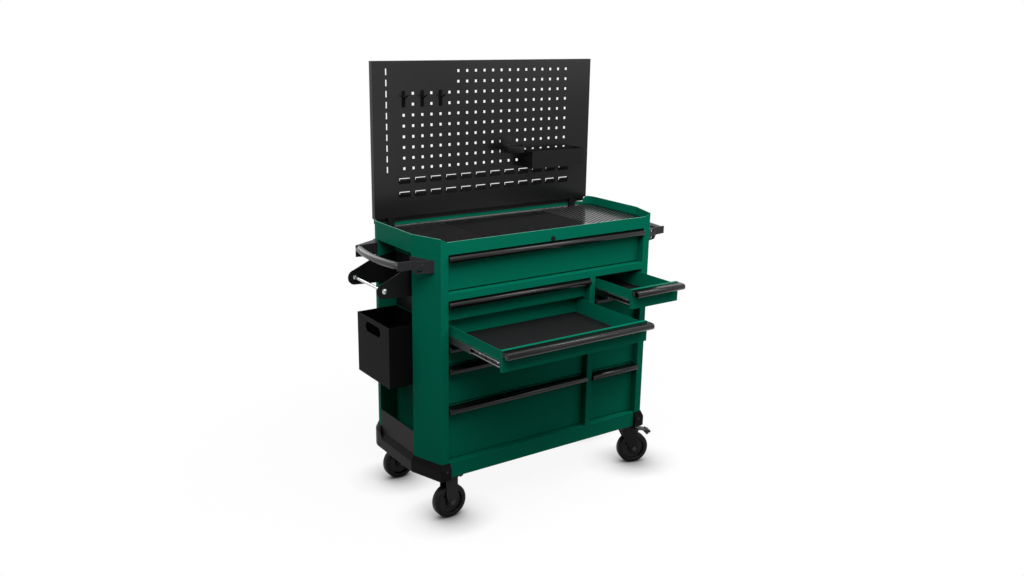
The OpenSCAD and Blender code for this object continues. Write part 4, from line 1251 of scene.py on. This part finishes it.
@dataclass
class Studio:
    """Floor, soft light and camera."""

    camera_place: Vector = field(default_factory=lambda: Vector((-2.0402, -2.8905, 1.7108)))
    azimuth: float = math.radians(34.955)
    pitch: float = math.radians(-15.316)
    roll: float = math.radians(0.922)
    focal_px: float = 973.46
    image_w: float = 1024.0
    sensor: float = 36.0
    floor_half: float = 3.0
    floor_near: float = 0.75
    floor_far: float = 1.7
    floor_shade: float = 0.95
    floor_glow: float = 0.92
    floor_bounce: float = 0.08
    contact_power: float = 2.2
    contact_reach: float = 0.15
    contact_samples: int = 16
    room_colour: Colour = (0.96, 0.98, 1.0)
    room_level: float = 0.05
    view_reach: float = 60.0
    lamps: tuple[Softbox, ...] = (
        Softbox("key", (-1.0, -1.6, 2.6), (0.0, 0.0, 0.8), 1.4, 1.4, 46.0),
        Softbox("front", (0.0, -1.1, 2.1), (0.0, -0.2, 0.7), 0.9, 0.9, 4.0),
        Softbox("fill", (1.9, -2.0, 2.0), (0.2, 0.0, 0.6), 1.4, 1.4, 15.0),
        Softbox("side", (-2.6, 0.2, 2.5), (-0.3, 0.0, 0.8), 1.4, 1.4, 23.0),
        Softbox("top", (0.0, -0.1, 3.6), (0.0, 0.0, 0.0), 2.6, 2.6, 30.0),
        Softbox("back", (-0.8, 2.7, 2.3), (0.0, 0.2, 0.8), 1.6, 1.6, 26.0),
        Softbox("sheen", (0.75, -2.5, 1.2), (-0.2, 0.15, 1.3), 0.7, 1.4, 4.5),
        Softbox("strip", (1.7, -1.1, 3.2), (1.7, -0.25, 0.8), 1.4, 0.8, 52.0))

    def build(self) -> None:
        """Set up the floor, the light and the camera."""
        self._floor()
        self._world()
        for lamp in self.lamps:
            lamp.hang()
        self._camera()
        bpy.context.scene.view_settings.view_transform = "Standard"

    def _floor(self) -> None:
        """Lay a pale floor that keeps the lamps' shadows, adds painted contact shadows and fades out around
        the cabinet.
        """
        floor = Bench.plane("floor", 2.0 * self.floor_half, 2.0 * self.floor_half)
        made = bpy.data.materials.new("pale_floor")
        made.use_nodes = True
        tree = made.node_tree
        tree.nodes.remove(tree.nodes["Principled BSDF"])
        seen = self._blend(tree, self._matt(tree, self.floor_shade), self._glow(tree))
        seen.inputs["Fac"].default_value = self.floor_glow
        lit = self._blend(tree, self._matt(tree, self.floor_bounce), seen.outputs["Shader"])
        tree.links.new(self._background_rays(tree), lit.inputs["Fac"])
        clear = tree.nodes.new("ShaderNodeBsdfTransparent")
        faded = self._blend(tree, lit.outputs["Shader"], clear.outputs["BSDF"])
        tree.links.new(self._distance_fade(tree), faded.inputs["Fac"])
        tree.links.new(faded.outputs["Shader"], tree.nodes["Material Output"].inputs["Surface"])
        floor.data.materials.append(made)

    @staticmethod
    def _blend(tree: bpy.types.NodeTree, first: bpy.types.NodeSocket,
               second: bpy.types.NodeSocket) -> bpy.types.Node:
        """Place a node that blends two shaders.

        Args:
            tree: Node tree of the floor or the world.
            first: Shader that shows where the share is 0.
            second: Shader that shows where the share is 1.

        Returns:
            The node, whose share is still to be set.
        """
        node = tree.nodes.new("ShaderNodeMixShader")
        tree.links.new(first, node.inputs[1])
        tree.links.new(second, node.inputs[2])
        return node

    @staticmethod
    def _matt(tree: bpy.types.NodeTree, shade: float) -> bpy.types.NodeSocket:
        """Return the shader of a matt grey.

        Args:
            tree: Node tree of the floor.
            shade: Level of the grey.

        Returns:
            The shader's socket.
        """
        matt = tree.nodes.new("ShaderNodeBsdfDiffuse")
        matt.inputs["Color"].default_value = (shade, shade, shade, 1.0)
        return matt.outputs["BSDF"]

    def _glow(self, tree: bpy.types.NodeTree) -> bpy.types.NodeSocket:
        """Return the shader of a white glow with painted contact shadow, darker where something stands
        close.

        Args:
            tree: Node tree of the floor.

        Returns:
            The shader's socket.
        """
        # Painted shadow: ambient occlusion darkens the glow near the wheels and forks.
        contact = tree.nodes.new("ShaderNodeAmbientOcclusion")
        contact.samples = self.contact_samples
        contact.inputs["Distance"].default_value = self.contact_reach
        deeper = tree.nodes.new("ShaderNodeMath")
        deeper.operation = "POWER"
        deeper.inputs[1].default_value = self.contact_power
        tree.links.new(contact.outputs["AO"], deeper.inputs[0])
        glow = tree.nodes.new("ShaderNodeEmission")
        glow.inputs["Color"].default_value = (1.0, 1.0, 1.0, 1.0)
        tree.links.new(deeper.outputs["Value"], glow.inputs["Strength"])
        return glow.outputs["Emission"]

    def _distance_fade(self, tree: bpy.types.NodeTree) -> bpy.types.NodeSocket:
        """Return a share that grows from 0 near the cabinet to 1 far from it.

        Args:
            tree: Node tree of the floor.

        Returns:
            The socket with the share.
        """
        place = tree.nodes.new("ShaderNodeTexCoord")
        reach = tree.nodes.new("ShaderNodeVectorMath")
        reach.operation = "LENGTH"
        tree.links.new(place.outputs["Object"], reach.inputs[0])
        fade = tree.nodes.new("ShaderNodeMapRange")
        fade.interpolation_type = "SMOOTHSTEP"
        fade.inputs["From Min"].default_value = self.floor_near
        fade.inputs["From Max"].default_value = self.floor_far
        tree.links.new(reach.outputs["Value"], fade.inputs["Value"])
        return fade.outputs["Result"]

    def _world(self) -> None:
        """Light the room evenly, with a white background for the camera and for reflections."""
        world = bpy.data.worlds.new("studio")
        bpy.context.scene.world = world
        world.use_nodes = True
        tree = world.node_tree
        room = tree.nodes["Background"]
        room.inputs["Color"].default_value = (*self.room_colour, 1.0)
        room.inputs["Strength"].default_value = self.room_level
        white = tree.nodes.new("ShaderNodeBackground")
        white.inputs["Color"].default_value = (1.0, 1.0, 1.0, 1.0)
        white.inputs["Strength"].default_value = 1.0
        lit = self._blend(tree, room.outputs["Background"], white.outputs["Background"])
        tree.links.new(self._background_rays(tree), lit.inputs["Fac"])
        tree.links.new(lit.outputs["Shader"], tree.nodes["World Output"].inputs["Surface"])

    @staticmethod
    def _background_rays(tree: bpy.types.NodeTree) -> bpy.types.NodeSocket:
        """Tell apart the rays that show the white background.

        Args:
            tree: Node tree of the floor or the world.

        Returns:
            A socket that is 1 for camera, glossy and transmission rays.
        """
        rays = tree.nodes.new("ShaderNodeLightPath")
        either = rays.outputs["Is Camera Ray"]
        for kind in ("Is Glossy Ray", "Is Transmission Ray"):
            most = tree.nodes.new("ShaderNodeMath")
            most.operation = "MAXIMUM"
            tree.links.new(either, most.inputs[0])
            tree.links.new(rays.outputs[kind], most.inputs[1])
            either = most.outputs["Value"]
        return either

    def _camera(self) -> None:
        """Place the camera at the photograph's viewing angle."""
        view = bpy.data.cameras.new("camera")
        view.sensor_width = self.sensor
        view.lens = self.sensor * self.focal_px / self.image_w
        view.clip_end = self.view_reach
        holder = bpy.data.objects.new("camera", view)
        bpy.context.scene.collection.objects.link(holder)
        ahead = Vector((math.sin(self.azimuth) * math.cos(self.pitch),
                        math.cos(self.azimuth) * math.cos(self.pitch), math.sin(self.pitch)))
        right = Vector((math.cos(self.azimuth), -math.sin(self.azimuth), 0.0))
        up = right.cross(ahead)
        turned_right = right * math.cos(self.roll) + up * math.sin(self.roll)
        turned_up = up * math.cos(self.roll) - right * math.sin(self.roll)
        frame_axes = Matrix((turned_right, turned_up, -ahead)).transposed().to_4x4()
        holder.matrix_world = Matrix.Translation(self.camera_place) @ frame_axes
        bpy.context.scene.camera = holder


DRAWER_NAMES = ("top", "left_1", "left_2", "left_3", "left_4", "left_5",
                "right_1", "right_2", "right_3", "right_4")


def main() -> None:
    """Build every sub-assembly and report its pieces."""
    logging.basicConfig(level=logging.INFO, format="%(name)s: %(message)s")
    box = Paintbox()
    pieces = Body(box).build()
    for name in DRAWER_NAMES:
        pieces += Drawer(name, box).build()
    pieces += Casters(box).build()
    EdgeRounding().apply()
    for piece in pieces:
        log.info("%s: %d faces", piece.name, len(piece.data.polygons))
    Studio().build()


if __name__ == "__main__":
    main()
